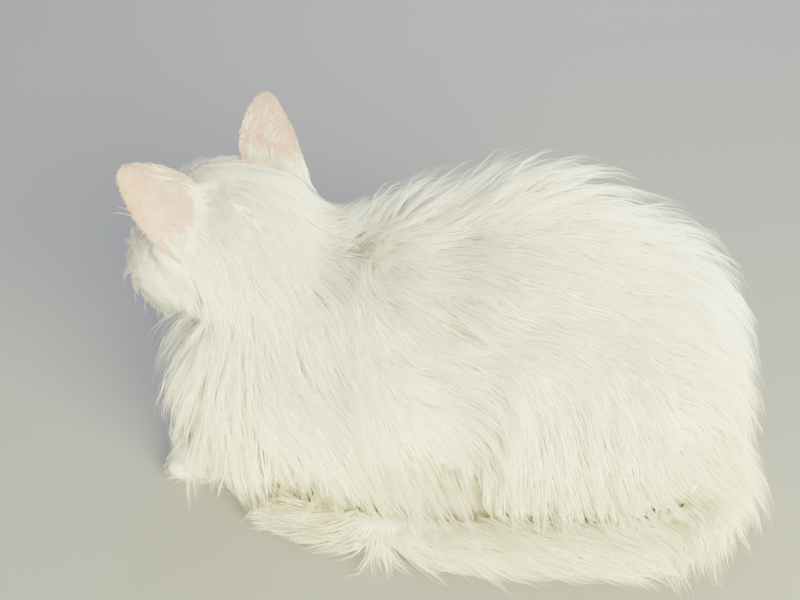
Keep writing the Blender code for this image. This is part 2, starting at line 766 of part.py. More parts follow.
def sound(obj, others):
    """Whether a node is closed, and meets neither itself nor another node."""
    bm = bmesh.new()
    bm.from_mesh(obj.data)
    tree = BVHTree.FromBMesh(bm)
    clear = all(edge.is_manifold for edge in bm.edges) and not crosses_itself(bm)
    for other in others:
        near = any(other.find_nearest(vertex.co, GAP / 4)[0] for vertex in bm.verts)
        clear = clear and not near and not tree.overlap(other)
    bm.free()
    return clear


def simplest(obj, others):
    """The dressed node with the fewest triangles that leave it sound."""
    name = obj.name
    weight = behind_face if name == "head" else None
    for kept in KEPT_TRIES:
        made = largest_body(thinned(copy_of(obj, "trial"), kept, weight))
        if sound(made, others):
            bpy.data.objects.remove(obj)
            made.name = name
            return made
        bpy.data.objects.remove(made)
    return largest_body(obj)


def finish(obj, kinds, objects):
    """Shade a node, give it its own finish, and put it in the object's collection."""
    kind = next((kind for kind in kinds if obj.name.startswith(kind)), "coat")
    colour, roughness = kinds[kind]
    material = bpy.data.materials.new(obj.name)
    material.use_nodes = True
    shader = material.node_tree.nodes["Principled BSDF"]
    shader.inputs["Base Color"].default_value = (*colour, 1)
    shader.inputs["Roughness"].default_value = roughness
    obj.data.materials.clear()
    obj.data.materials.append(material)
    obj.data.shade_smooth()
    obj.data.set_sharp_from_angle(angle=SHARP_OVER)
    bpy.context.scene.collection.objects.unlink(obj)
    objects.objects.link(obj)


def clear_all():
    for obj in list(bpy.data.objects):
        bpy.data.objects.remove(obj)


def main():
    clear_all()
    head = make_head(CORE_SHARE)
    body = above_floor(fused(body_forms(CORE_SHARE), "torso", *BODY_SKIN))
    body = largest_body(combined(body, wedge(HEAD_REGION, GAP / 2, HEAD), "DIFFERENCE"))
    nodes = {"head": head}
    for side, word in ((-1, "left"), (1, "right")):
        ear_side = -side
        nodes["ear_" + word] = clear_of(make_ear("ear_" + word, ear_side), head)
        nodes["eye_" + word] = make_eye("eye_" + word, ear_side)
        for kind in PAWS:
            paw = above_floor(make_paw(kind + "_" + word, kind, side))
            nodes[kind + "_" + word] = clear_of(paw, body, PAW_ROOM)
    nodes["nose"] = make_nose()
    tail = clear_of(above_floor(make_tail(CORE_SHARE)), body)
    for name in ("tail_tip", "tail_middle"):
        nodes[name], tail = parted(tail, name, [TAIL_CUTS[name]])
    nodes["tail_base"] = tail
    tail.name = "tail_base"
    ground = Ground([head, body, *(nodes[name] for name in TAIL_CUTS)])
    nodes["neck"], body = parted(body, "neck", NECK_REGION)
    for side, word in ((-1, "left"), (1, "right")):
        for kind, planes in LEG_REGIONS.items():
            nodes[kind + "_" + word], body = parted(body, kind + "_" + word, planes, side=side)
    nodes["torso"] = body
    for seed, name in enumerate(COAT_ORDER):
        nodes[name] = dress(nodes, name, ground, seed)
    objects = bpy.data.collections.new("persian_cat")
    bpy.context.scene.collection.children.link(objects)
    for obj in nodes.values():
        finish(obj, FINISHES, objects)


main()
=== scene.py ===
# A white long-haired cat, life size, lying with its legs folded under it and its head turned away
# over its right shoulder. Metres, +Z up. It faces -X and its left side is towards -Y.
import json
import math

import bmesh
import bpy
import numpy as np
from mathutils import Matrix, Vector, noise
from mathutils.bvhtree import BVHTree
from mathutils.kdtree import KDTree

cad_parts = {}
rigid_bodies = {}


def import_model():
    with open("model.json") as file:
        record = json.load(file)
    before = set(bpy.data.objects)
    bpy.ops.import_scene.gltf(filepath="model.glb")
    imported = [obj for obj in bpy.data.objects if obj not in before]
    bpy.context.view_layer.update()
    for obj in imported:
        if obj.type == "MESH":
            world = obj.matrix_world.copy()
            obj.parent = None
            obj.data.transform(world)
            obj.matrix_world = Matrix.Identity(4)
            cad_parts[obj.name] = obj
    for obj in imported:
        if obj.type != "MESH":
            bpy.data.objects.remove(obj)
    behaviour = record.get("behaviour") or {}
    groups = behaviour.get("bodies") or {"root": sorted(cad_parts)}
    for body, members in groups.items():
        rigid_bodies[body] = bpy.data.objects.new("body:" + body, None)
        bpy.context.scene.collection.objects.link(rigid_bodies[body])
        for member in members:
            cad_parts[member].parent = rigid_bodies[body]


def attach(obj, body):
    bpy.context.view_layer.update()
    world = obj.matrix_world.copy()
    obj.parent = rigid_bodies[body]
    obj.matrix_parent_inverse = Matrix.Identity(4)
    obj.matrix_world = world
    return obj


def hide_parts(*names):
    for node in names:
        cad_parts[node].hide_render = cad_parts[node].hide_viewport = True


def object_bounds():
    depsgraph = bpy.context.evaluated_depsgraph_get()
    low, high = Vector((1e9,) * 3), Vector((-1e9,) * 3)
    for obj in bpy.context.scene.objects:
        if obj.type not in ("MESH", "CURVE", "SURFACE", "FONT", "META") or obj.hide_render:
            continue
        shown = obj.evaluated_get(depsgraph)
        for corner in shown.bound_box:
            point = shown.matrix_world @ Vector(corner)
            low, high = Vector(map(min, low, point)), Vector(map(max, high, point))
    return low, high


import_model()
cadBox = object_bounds()
stillWorld = Matrix.Identity(4)

# Where the head is and how it is turned, in degrees
headPose = {"middle": (-0.1416, 0.0007, 0.1683), "turn": 31, "down": 17, "lean": 2}

# The body's forms: middle, half sizes at the skin, depth of coat. The left side mirrors the right.
trunk = {
    "chest": ((-0.106, 0.000, 0.076), (0.055, 0.060, 0.066), 0.022),
    "bib": ((-0.120, 0.000, 0.046), (0.036, 0.046, 0.040), 0.018),
    "withers": ((-0.058, 0.000, 0.106), (0.050, 0.046, 0.048), 0.022),
    "ribs": ((-0.008, 0.000, 0.095), (0.072, 0.063, 0.082), 0.022),
    "loin": ((0.047, 0.000, 0.101), (0.078, 0.065, 0.091), 0.022),
    "rump": ((0.093, 0.000, 0.086), (0.060, 0.066, 0.078), 0.022),
    "seat": ((0.114, 0.000, 0.056), (0.050, 0.056, 0.050), 0.020),
    "belly": ((0.000, 0.000, 0.044), (0.112, 0.054, 0.048), 0.010),
}
thighs = {"thigh": ((0.078, 0.050, 0.070), (0.060, 0.030, 0.052), 0.014)}
# Limbs: both ends, the radius at each, depth of coat
limbs = {
    "haunchFoot": ((0.120, 0.046, 0.014), (0.030, 0.053, 0.012), 0.012, 0.011, 0.006),
    "upperArm": ((-0.095, 0.044, 0.080), (-0.034, 0.050, 0.040), 0.026, 0.022, 0.012),
    "forearm": ((-0.040, 0.048, 0.020), (-0.138, 0.030, 0.015), 0.015, 0.012, 0.008),
}
# The neck's root is on the body and its end in the head's frame
neckSet = {"root": (-0.084, 0.000, 0.108), "end": (-0.024, 0.0, -0.020), "radii": (0.042, 0.034),
           "coat": 0.018}
paws = {
    "forepaw": {"at": (-0.158, 0.027, 0.011), "turn": 188},
    "hindpaw": {"at": (0.010, 0.054, 0.011), "turn": 178},
}
pawSet = {"size": (0.021, 0.0135, 0.0125), "toe": (0.0085, 0.0050, 0.0068), "ahead": 0.0160, "drop": 0.0030,
          "spread": (-0.0095, -0.0033, 0.0033, 0.0095), "setBack": 0.35, "coat": 0.002}
# The tail's line from root to tip: each place, the radius there, depth of coat
tailWay = [
    ((0.118, 0.004, 0.062), 0.016, 0.014),
    ((0.148, -0.006, 0.044), 0.014, 0.014),
    ((0.162, -0.036, 0.030), 0.012, 0.015),
    ((0.150, -0.070, 0.025), 0.011, 0.016),
    ((0.112, -0.088, 0.024), 0.010, 0.016),
    ((0.060, -0.092, 0.023), 0.010, 0.014),
    ((0.005, -0.091, 0.020), 0.009, 0.012),
    ((-0.045, -0.085, 0.017), 0.008, 0.009),
    ((-0.086, -0.078, 0.013), 0.006, 0.006),
    ((-0.116, -0.070, 0.008), 0.004, 0.003),
]

# The head's forms in its own frame: forward, left and up from the middle of the skull
skull = {
    "cranium": ((-0.012, 0.000, 0.003), (0.040, 0.035, 0.031), 0.006),
    "forehead": ((0.014, 0.000, 0.005), (0.026, 0.028, 0.023), 0.004),
    "bridge": ((0.040, 0.000, -0.002), (0.013, 0.0080, 0.009), 0.002),
    "muzzle": ((0.041, 0.000, -0.014), (0.014, 0.016, 0.011), 0.002),
    "chin": ((0.044, 0.000, -0.0240), (0.0090, 0.0090, 0.0065), 0.002),
    "jaw": ((0.014, 0.000, -0.020), (0.030, 0.024, 0.015), 0.008),
    "nape": ((-0.036, 0.000, -0.012), (0.024, 0.031, 0.030), 0.014),
}
skullSides = {
    "cheek": ((0.008, 0.027, -0.012), (0.028, 0.022, 0.024), 0.008),
    "brow": ((0.018, 0.014, 0.006), (0.021, 0.018, 0.018), 0.004),
    "earBase": ((-0.022, 0.030, 0.006), (0.017, 0.022, 0.021), 0.004),
    "lip": ((0.048, 0.0080, -0.0155), (0.0090, 0.0090, 0.0078), 0.0015),
}
# The eyeballs: where they are and look, the lids' opening, the sockets, and the clear bulge in front
eyeSet = {"at": (0.0330, 0.0200, 0.0000), "radius": 0.0105, "looks": (0.86, 0.50, 0.06), "lid": 0.0010,
          "halfWide": 0.0083, "halfHigh": 0.0073, "orbitAhead": 0.0125, "orbit": (0.0128, 0.0114, 0.0080),
          "rim": 0.00042, "cornea": 0.0082, "corneaAhead": 0.0031, "gaze": (0.955, 0.30, 0.02)}
noseSet = {"voxel": 0.00032, "at": (0.0565, 0.0, -0.0085)}
noseForms = {  # middle and half sizes; those off the middle line are made on both sides
    "top": ((0.0560, 0.0000, -0.0072), (0.0036, 0.0058, 0.0026)),
    "front": ((0.0570, 0.0000, -0.0096), (0.0034, 0.0040, 0.0030)),
    "foot": ((0.0560, 0.0000, -0.0128), (0.0026, 0.0018, 0.0024)),
    "wing": ((0.0552, 0.0041, -0.0092), (0.0036, 0.0022, 0.0026)),
}
nostrilForms = {
    "hole": ((0.0594, 0.0031, -0.0098), (0.0034, 0.0010, 0.0008)),
    "slit": ((0.0572, 0.0052, -0.0099), (0.0034, 0.0016, 0.0004)),
    "groove": ((0.0606, 0.0000, -0.0132), (0.0016, 0.0003, 0.0044)),
}
# The line of the mouth, from under the nose round to one corner
lipLine = [(0.060, 0, -0.0140), (0.059, 0, -0.0185), (0.056, 0.005, -0.0212), (0.050, 0.011, -0.0218),
           (0.040, 0.016, -0.0195)]
lipSet = {"radius": 0.0008, "voxel": 0.0003}
# How finely each shape is grown together, and how many rounds it is smoothed, before and after the orbits
skinSet = {"firstVoxel": 0.0013, "headVoxel": 0.0010, "headRounds": 5, "bodyVoxel": 0.0030, "bodyRounds": 6,
           "outerVoxel": 0.0040, "outerRounds": 6, "lowest": 0.0012}


def linear(colour):
    # An sRGB hex colour as the linear values that a shader takes
    parts = [int(colour[place:place + 2], 16) / 255 for place in (1, 3, 5)]
    return (*[part / 12.92 if part <= 0.04045 else ((part + 0.055) / 1.055) ** 2.4 for part in parts], 1.0)


def addNode(tree, kind, settings=None, sockets=None):
    # A socket's value may be a number, another node's socket, or a node, for its first output
    made = tree.nodes.new(kind)
    for name, value in (settings or {}).items():
        setattr(made, name, value)
    for name, value in (sockets or {}).items():
        value = value.outputs[0] if isinstance(value, bpy.types.Node) else value
        if isinstance(value, bpy.types.NodeSocket):
            tree.links.new(value, made.inputs[name])
        else:
            made.inputs[name].default_value = value
    return made


def dressIn(piece, finish):
    # One finish all over, also where a cut left an empty slot behind
    piece.data.materials.clear()
    piece.data.materials.append(finish)
    piece.data.polygons.foreach_set("material_index", [0] * len(piece.data.polygons))


def addObject(name, mesh):
    piece = bpy.data.objects.new(name, mesh)
    bpy.context.scene.collection.objects.link(piece)
    return piece


def trianglesIn(piece):
    return sum(len(face.vertices) - 2 for face in piece.data.polygons)


def meshOf(name, bm):
    mesh = bpy.data.meshes.new(name)
    bm.to_mesh(mesh)
    bm.free()
    return mesh


def settled(piece, name):
    # A new piece with that one's modifiers turned into plain mesh
    bpy.context.view_layer.update()
    graph = bpy.context.evaluated_depsgraph_get()
    mesh = bpy.data.meshes.new_from_object(piece.evaluated_get(graph))
    mesh.transform(piece.matrix_world)
    bpy.data.objects.remove(piece)
    mesh.name = name
    return addObject(name, mesh)


def cutBy(piece, other, operation):
    step = piece.modifiers.new("step", "BOOLEAN")
    step.operation = operation
    step.solver = "MANIFOLD"  # both shapes are closed, as it needs
    step.object = other
    made = settled(piece, piece.name)
    bpy.data.objects.remove(other)
    return made


def mirrored(point, side):
    return Vector((point[0], point[1] * side, point[2]))


def headMatrix():
    turn, down, lean = (math.radians(headPose[key]) for key in ("turn", "down", "lean"))
    ahead = Vector((-math.cos(turn), math.sin(turn), 0))
    side = Vector((-math.sin(turn), -math.cos(turn), 0))
    rise = Vector((0, 0, 1))
    forward = ahead * math.cos(down) - rise * math.sin(down)
    up = rise * math.cos(down) + ahead * math.sin(down)
    left = side * math.cos(lean) - up * math.sin(lean)
    up = up * math.cos(lean) + side * math.sin(lean)
    axes = Matrix((forward, left, up)).transposed().to_4x4()
    return Matrix.Translation(headPose["middle"]) @ axes


head = headMatrix()
headBack = head.inverted()


def eyeMatrix(side, ahead=0.0, faces="looks"):
    # The frame of an eye: across, up and the way it faces, from that far in front of its middle
    looks = mirrored(eyeSet[faces], side).normalized()
    across = Vector((0, 0, 1)).cross(looks).normalized()
    axes = Matrix((across, looks.cross(across), looks)).transposed().to_4x4()
    return head @ Matrix.Translation(mirrored(eyeSet["at"], side) + looks * ahead) @ axes


def addBall(bm, at, size, place=stillWorld, fine=4):
    where = place @ Matrix.Translation(at) @ Matrix.Diagonal((*size, 1))
    bmesh.ops.create_icosphere(bm, subdivisions=fine, radius=1.0, matrix=where)


def addLimb(bm, start, end, startRadius, endRadius):
    # The hull of a ball at each end
    limb = bmesh.new()
    for at, radius in ((start, startRadius), (end, endRadius)):
        bmesh.ops.create_icosphere(limb, subdivisions=3, radius=radius, matrix=Matrix.Translation(at))
    hull = bmesh.ops.convex_hull(limb, input=limb.verts)
    inside = {item for item in hull["geom_interior"] if isinstance(item, bmesh.types.BMVert)}
    bmesh.ops.delete(limb, geom=list(inside), context="VERTS")
    mesh = meshOf("limb", limb)
    bm.from_mesh(mesh)
    bpy.data.meshes.remove(mesh)


def addBodyForms(bm, share):
    for at, size, coat in trunk.values():
        addBall(bm, at, [half + coat * share for half in size])
    neckRadii = [radius + neckSet["coat"] * share for radius in neckSet["radii"]]
    addLimb(bm, neckSet["root"], head @ Vector(neckSet["end"]), *neckRadii)
    for side in (1, -1):
        for at, size, coat in thighs.values():
            addBall(bm, mirrored(at, side), [half + coat * share for half in size])
        for start, end, startRadius, endRadius, coat in limbs.values():
            addLimb(bm, mirrored(start, side), mirrored(end, side),
                    startRadius + coat * share, endRadius + coat * share)
    for low, high in zip(tailWay, tailWay[1:]):
        addLimb(bm, low[0], high[0], low[1] + low[2] * share, high[1] + high[2] * share)


def addHeadForms(bm, share):
    for at, size, coat in skull.values():
        addBall(bm, at, [half + coat * share for half in size], head)
    for at, size, coat in skullSides.values():
        for side in (1, -1):
            addBall(bm, mirrored(at, side), [half + coat * share for half in size], head)


def addPaws(bm, share):
    for spot in paws.values():
        for side in (1, -1):
            turn = Matrix.Rotation(math.radians(spot["turn"]) * side, 4, "Z")
            place = Matrix.Translation(mirrored(spot["at"], side)) @ turn
            addBall(bm, (0, 0, 0.001), [half + pawSet["coat"] * share for half in pawSet["size"]], place)
            for spread in pawSet["spread"]:
                toe = (pawSet["ahead"] - abs(spread) * pawSet["setBack"], spread, -pawSet["drop"])
                addBall(bm, toe, [half + pawSet["coat"] * share for half in pawSet["toe"]], place)


def grownTogether(name, mesh, voxel, rounds):
    # The closed forms in the mesh as one smooth skin
    piece = addObject(name, mesh)
    remesh = piece.modifiers.new("remesh", "REMESH")
    remesh.mode = "VOXEL"
    remesh.voxel_size = voxel
    smooth = piece.modifiers.new("smooth", "SMOOTH")
    smooth.factor = 0.5
    smooth.iterations = rounds
    return settled(piece, name)


def makeHeadSkin():
    bm = bmesh.new()
    addHeadForms(bm, 0.0)
    piece = grownTogether("headSkin", meshOf("headSkin", bm), skinSet["firstVoxel"], skinSet["headRounds"])
    for side in (1, -1):
        bm = bmesh.new()
        addBall(bm, (0, 0, 0), eyeSet["orbit"], eyeMatrix(side, eyeSet["orbitAhead"]))
        piece = cutBy(piece, addObject("orbit", meshOf("orbit", bm)), "DIFFERENCE")
    bm = bmesh.new()
    bm.from_mesh(piece.data)
    bpy.data.objects.remove(piece)
    for side in (1, -1):
        addBall(bm, mirrored(eyeSet["at"], side), [eyeSet["radius"] + eyeSet["lid"]] * 3, head)
    addPaws(bm, 0.0)
    piece = grownTogether("headSkin", meshOf("headSkin", bm), skinSet["headVoxel"], skinSet["headRounds"])
    return piece


def openEyes(piece):
    # The sockets, and the opening between the lids of each
    for side in (1, -1):
        bm = bmesh.new()
        addBall(bm, mirrored(eyeSet["at"], side), [eyeSet["radius"] + 0.0001] * 3, head)
        piece = cutBy(piece, addObject("socket", meshOf("socket", bm)), "DIFFERENCE")
        bm = bmesh.new()
        rings = []
        for ahead in (0.002, 0.022):
            place = eyeMatrix(side, ahead)
            rings.append([bm.verts.new(place @ Vector((*lidPoint(angle, ahead), 0)))
                          for angle in np.linspace(0, 2 * math.pi, 48, endpoint=False)])
        after = [ring[1:] + ring[:1] for ring in rings]
        for low, high, lowNext, highNext in zip(*rings, *after):
            bm.faces.new((low, lowNext, highNext, high))
        bm.faces.new(rings[0][::-1])
        bm.faces.new(rings[1])
        bmesh.ops.triangulate(bm, faces=bm.faces)
        bmesh.ops.recalc_face_normals(bm, faces=bm.faces)
        piece = cutBy(piece, addObject("opening", meshOf("opening", bm)), "DIFFERENCE")
    return piece


def lidPoint(angle, ahead):
    # A point of the opening between the lids, that far out: nearly round, drawn out to its corners
    wider = 0.80 + (ahead - 0.002) * 35
    across, up = math.cos(angle), math.sin(angle)
    corner = 1 + 0.12 * abs(across) ** 8
    high = eyeSet["halfHigh"] * (1.0 if up > 0 else 0.92)
    return eyeSet["halfWide"] * across * corner * wider, high * up * wider


def lidRing(side, count=64):
    # Where the edge of the lids lies on the eyeball
    ring = []
    for angle in np.linspace(0, 2 * math.pi, count, endpoint=False):
        ahead = 0.007
        for _ in range(12):
            x, y = lidPoint(angle, ahead)
            ahead = math.sqrt(max(eyeSet["radius"] ** 2 - x * x - y * y, 1e-6))
        ring.append(eyeMatrix(side) @ (Vector((x, y, ahead)) * 1.03))
    return ring


def makeRim(side):
    # The bare edge of the lids, a thin round bead
    ring = lidRing(side)
    middle = sum(ring, Vector()) / len(ring)
    bm = bmesh.new()
    loops = []
    for index, at in enumerate(ring):
        along = (ring[(index + 1) % len(ring)] - ring[index - 1]).normalized()
        out = (at - middle).normalized()
        up = along.cross(out).normalized()
        out = up.cross(along)
        loops.append([bm.verts.new(at + (out * math.cos(turn) + up * math.sin(turn)) * eyeSet["rim"])
                      for turn in np.linspace(0, 2 * math.pi, 8, endpoint=False)])
    for loop, after in zip(loops, loops[1:] + loops[:1]):
        for one, two, three, four in zip(loop, loop[1:] + loop[:1], after[1:] + after[:1], after):
            bm.faces.new((one, two, three, four))
    bmesh.ops.triangulate(bm, faces=bm.faces)
    bmesh.ops.recalc_face_normals(bm, faces=bm.faces)
    return addObject("rim", meshOf("rim", bm))


def cutMouth(piece):
    # A fine groove from the nose down and back to both corners
    tree = BVHTree.FromObject(piece, bpy.context.evaluated_depsgraph_get())
    bm = bmesh.new()
    for side in (1, -1):
        way = [head @ mirrored(at, side) for at in lipLine]
        points = [low.lerp(high, step / 6) for low, high in zip(way, way[1:]) for step in range(6)]
        points = [tree.find_nearest(at)[0] for at in points + way[-1:]]
        for index, (low, high) in enumerate(zip(points, points[1:])):
            if (high - low).length > 1e-5:
                thin = lipSet["radius"] * (1 - 0.5 * index / len(points))
                addLimb(bm, low, high, thin, thin)
    return cutBy(piece, grownTogether("mouth", meshOf("mouth", bm), lipSet["voxel"], 1), "DIFFERENCE")


def placesOf(mesh):
    places = np.empty(len(mesh.vertices) * 3)
    mesh.vertices.foreach_get("co", places)
    return places.reshape(-1, 3)


def makeSkin():
    headPart = cutMouth(openEyes(makeHeadSkin()))
    for side in (1, -1):
        headPart = cutBy(headPart, makeRim(side), "UNION")
    bm = bmesh.new()
    addBodyForms(bm, 0.0)
    body = grownTogether("bodySkin", meshOf("bodySkin", bm), skinSet["bodyVoxel"], skinSet["bodyRounds"])
    skin = cutBy(headPart, body, "UNION")
    skin.name = "skin"
    spots = placesOf(skin.data)
    spots[:, 2] = np.maximum(spots[:, 2], skinSet["lowest"])
    skin.data.vertices.foreach_set("co", spots.ravel())
    skin.data.update()
    skin.data.shade_smooth()
    markBare(skin)
    return skin


# How far from each line the skin is bare, and how far from the head's middle that is looked for
bareSet = {"lids": 0.0013, "mouth": 0.0030, "nose": 0.008, "within": 0.09}


def markBare(skin):
    # How bare the skin is: at the edges of the lids, round the nose and along the mouth
    spots = placesOf(skin.data)
    bare = np.zeros(len(spots))
    near = np.nonzero(np.linalg.norm(spots - np.array(head.translation), axis=1) < bareSet["within"])[0]
    mouth = [head @ mirrored(low, side).lerp(mirrored(high, side), step / 6)
             for side in (1, -1) for low, high in zip(lipLine, lipLine[1:]) for step in range(7)]
    lines = {"lids": lidRing(1) + lidRing(-1), "mouth": mouth, "nose": [head @ Vector(noseSet["at"])]}
    for name, line in lines.items():
        tree = KDTree(len(line))
        for index, at in enumerate(line):
            tree.insert(at, index)
        tree.balance()
        for index in near:
            bare[index] = max(bare[index], 1 - tree.find(spots[index])[2] / bareSet[name])
    skin.data.attributes.new("bare", "FLOAT", "POINT").data.foreach_set("value", bare.astype(np.float32))


# Where long hair bridges a groove, beside the tail and over the forepaws: both ends, and their radii
drapes = [
    ((-0.130, 0.036, 0.046), (-0.163, 0.031, 0.020), 0.028, 0.020),
    ((-0.130, -0.036, 0.046), (-0.163, -0.031, 0.020), 0.028, 0.020),
    ((-0.050, -0.068, 0.034), (0.000, -0.074, 0.040), 0.018, 0.020),
    ((0.000, -0.074, 0.040), (0.100, -0.083, 0.043), 0.020, 0.022),
    ((0.100, -0.083, 0.043), (0.136, -0.050, 0.050), 0.022, 0.024),
    ((0.136, -0.050, 0.050), (0.142, -0.008, 0.056), 0.024, 0.024),
]


def makeOuter():
    bm = bmesh.new()
    for drape in drapes:
        addLimb(bm, *drape)
    addBodyForms(bm, 1.0)
    addHeadForms(bm, 1.0)
    addPaws(bm, 1.0)
    return grownTogether("outer", meshOf("outer", bm), skinSet["outerVoxel"], skinSet["outerRounds"])


print("skin")
skin = makeSkin()
print("skin", trianglesIn(skin), "triangles")
outer = makeOuter()


def unwrap(piece, name):
    bpy.context.view_layer.objects.active = piece
    for other in bpy.context.view_layer.objects:
        other.select_set(other == piece)
    piece.data.uv_layers.new(name=name)
    bpy.ops.object.mode_set(mode="EDIT")
    bpy.ops.mesh.select_all(action="SELECT")
    bpy.ops.uv.smart_project(angle_limit=math.radians(66), island_margin=0.002)
    bpy.ops.object.mode_set(mode="OBJECT")


unwrap(skin, "OFBake")
print("unwrapped")


class Ground:
    # A surface that guides are traced over, with its faces as arrays
    def __init__(self, piece):
        mesh = piece.data
        mesh.calc_loop_triangles()
        count = len(mesh.loop_triangles)
        self.corners = np.empty(count * 3, np.int32)
        mesh.loop_triangles.foreach_get("vertices", self.corners)
        self.corners = self.corners.reshape(-1, 3)
        loops = np.empty(count * 3, np.int32)
        mesh.loop_triangles.foreach_get("loops", loops)
        self.places = placesOf(mesh)
        self.unwrap = None
        if mesh.uv_layers:
            flat = np.empty(len(mesh.loops) * 2)
            mesh.uv_layers[0].data.foreach_get("uv", flat)
            self.unwrap = flat.reshape(-1, 2)[loops.reshape(-1, 3)]
        self.tree = BVHTree.FromPolygons(self.places.tolist(), self.corners.tolist())
        sides = self.places[self.corners]
        cross = np.cross(sides[:, 1] - sides[:, 0], sides[:, 2] - sides[:, 0])
        self.areas = np.linalg.norm(cross, axis=1) / 2
        self.ways = cross / np.maximum(self.areas * 2, 1e-12)[:, None]

    def scatter(self, count, rng):
        # Random places all over it, closer where its faces are finer: where, facing which way, and
        # where on its unwrap
        share = np.sqrt(self.areas)
        pick = rng.choice(len(self.areas), count, p=share / share.sum())
        u, v = rng.random(count), rng.random(count)
        over = u + v > 1
        u[over], v[over] = 1 - u[over], 1 - v[over]
        share = np.stack([1 - u - v, u, v], axis=1)[:, :, None]
        spots = (self.places[self.corners[pick]] * share).sum(axis=1)
        flat = (self.unwrap[pick] * share).sum(axis=1)
        return spots, self.ways[pick], flat

    def flatAt(self, point):
        return self.unwrap[self.tree.find_nearest(point)[2]].mean(axis=0)

    def evened(self, point, over):
        # The nearest place on it, and its outward way evened over a few millimetres
        at, way, _, _ = self.tree.find_nearest(point)
        across = way.orthogonal().normalized() * over
        along = way.cross(across)
        total = way.copy()
        for step in (across, -across, along, -along):
            total += self.tree.find_nearest(at + step)[1]
        return at, total.normalized()


def formDistances(points):
    # For every kind of part, how far each point is from its skin
    distances = {}

    def keep(name, values):
        distances[name] = np.minimum(distances.get(name, np.full(len(points), 1e9)), values)

    def ballDistance(local, size):
        first = np.linalg.norm(local / size, axis=1)
        second = np.linalg.norm(local / np.square(size), axis=1)
        return first * (first - 1) / np.maximum(second, 1e-9)

    def limbDistance(start, end, startRadius, endRadius):
        start, end = np.array(start), np.array(end)
        line = end - start
        share = np.clip((points - start) @ line / (line @ line), 0, 1)
        spine = start + share[:, None] * line
        return np.linalg.norm(points - spine, axis=1) - (startRadius + share * (endRadius - startRadius))

    inHead = toHead(points)
    for at, size, _ in trunk.values():
        keep("torso", ballDistance(points - at, np.array(size)))
    for side in (1, -1):
        for at, size, _ in thighs.values():
            keep("leg", ballDistance(points - np.array(mirrored(at, side)), np.array(size)))
        for start, end, startRadius, endRadius, _ in limbs.values():
            keep("leg", limbDistance(mirrored(start, side), mirrored(end, side), startRadius, endRadius))
        for at, size, _ in skullSides.values():
            keep("head", ballDistance(inHead - np.array(mirrored(at, side)), np.array(size)))
        for spot in paws.values():
            turn = math.radians(spot["turn"]) * side
            across, beside, up = (points - np.array(mirrored(spot["at"], side))).T
            local = np.stack([across * math.cos(turn) + beside * math.sin(turn),
                              beside * math.cos(turn) - across * math.sin(turn), up], axis=1)
            keep("paw", ballDistance(local, np.array(pawSet["size"])))
            toes = local - (0.015, 0, -pawSet["drop"])  # the four toes as one ball
            keep("paw", ballDistance(toes, np.array((0.009, 0.0145, 0.007))))
    for at, size, _ in skull.values():
        keep("head", ballDistance(inHead - at, np.array(size)))
    keep("neck", limbDistance(neckSet["root"], head @ Vector(neckSet["end"]), *neckSet["radii"]))
    for low, high in zip(tailWay, tailWay[1:]):
        keep("tail", limbDistance(low[0], high[0], low[1], high[1]))
    return distances


def toHead(points):
    turn = np.array(headBack)
    return points @ turn[:3, :3].T + turn[:3, 3]


# How the coat lies: ways it runs on each part, the slow noises that turn it so that locks form, and
# how it hangs below the body's edge. "low" is the height under which it is led over the skin.
laySet = {"neck": (0.25, 0.15, -1.0), "back": (1.0, 0.22, -0.30), "thigh": (0.42, 0.10, -1.0),
          "arm": (0.60, 0.10, -0.75), "rump": (0.25, -0.35, -1.0), "neckFrom": -0.095, "neckTo": -0.010,
          "sinks": 1.1, "tailSweep": (1.0, -0.38, -0.22), "tailOut": (0.0, -0.5, -0.2),
          "swirl": 0.26, "swirlSize": 0.045, "ripple": 0.22, "rippleSize": 0.013,
          "hangs": -0.15, "hangsUnder": 0.06, "splays": 0.45, "low": 0.012}
# Hollows and swells of the coat, as places, radii and depths, the same on both sides: behind the ears
# in the head's frame, then the fold at the elbow, the swell of the upper arm and the arc of the thigh
headHollows = [((-0.041, 0.047, -0.004), 0.010, 0.85)]
bodyHollows = [((-0.043, 0.065, 0.149), 0.010, 0.35), ((-0.023, 0.075, 0.140), 0.010, 0.45),
               ((-0.004, 0.081, 0.123), 0.011, 0.55), ((0.003, 0.084, 0.101), 0.012, 0.60),
               ((0.004, 0.080, 0.080), 0.013, 0.50), ((0.004, 0.079, 0.058), 0.012, 0.25),
               ((-0.020, 0.080, 0.076), 0.026, -0.20), ((-0.060, 0.082, 0.080), 0.030, -0.10),
               ((0.027, 0.084, 0.120), 0.010, 0.45), ((0.033, 0.080, 0.141), 0.010, 0.50),
               ((0.046, 0.076, 0.155), 0.010, 0.50), ((0.061, 0.073, 0.160), 0.011, 0.45),
               ((0.082, 0.068, 0.158), 0.011, 0.35)]
thighRound = {"at": (0.080, 0.094), "half": (0.055, 0.064)}
tailPlaces = [Vector(at) for at, _, _ in tailWay]


def eased(low, high, value):
    share = min(max((value - low) / (high - low), 0.0), 1.0)
    return share * share * (3 - 2 * share)


def sided(way, point):
    # A way that spreads to both sides of the middle plane
    return Vector((way[0], way[1] * max(-1.0, min(1.0, point.y / 0.05)), way[2]))


def tailWayAt(point):
    # The way to the tail's tip from the place on its line that is nearest to the point
    found = []
    for low, high in zip(tailPlaces, tailPlaces[1:]):
        line = high - low
        at = low + line * min(max((point - low).dot(line) / line.length_squared, 0.0), 1.0)
        found.append(((point - at).length, line.normalized()))
    return min(found, key=lambda item: item[0])[1]


def thighShare(point):
    # How far inside the round of the thigh a point is, seen from the side
    over = math.hypot((point.x - thighRound["at"][0]) / thighRound["half"][0],
                      (point.z - thighRound["at"][1]) / thighRound["half"][1])
    return eased(1.12, 0.86, over)


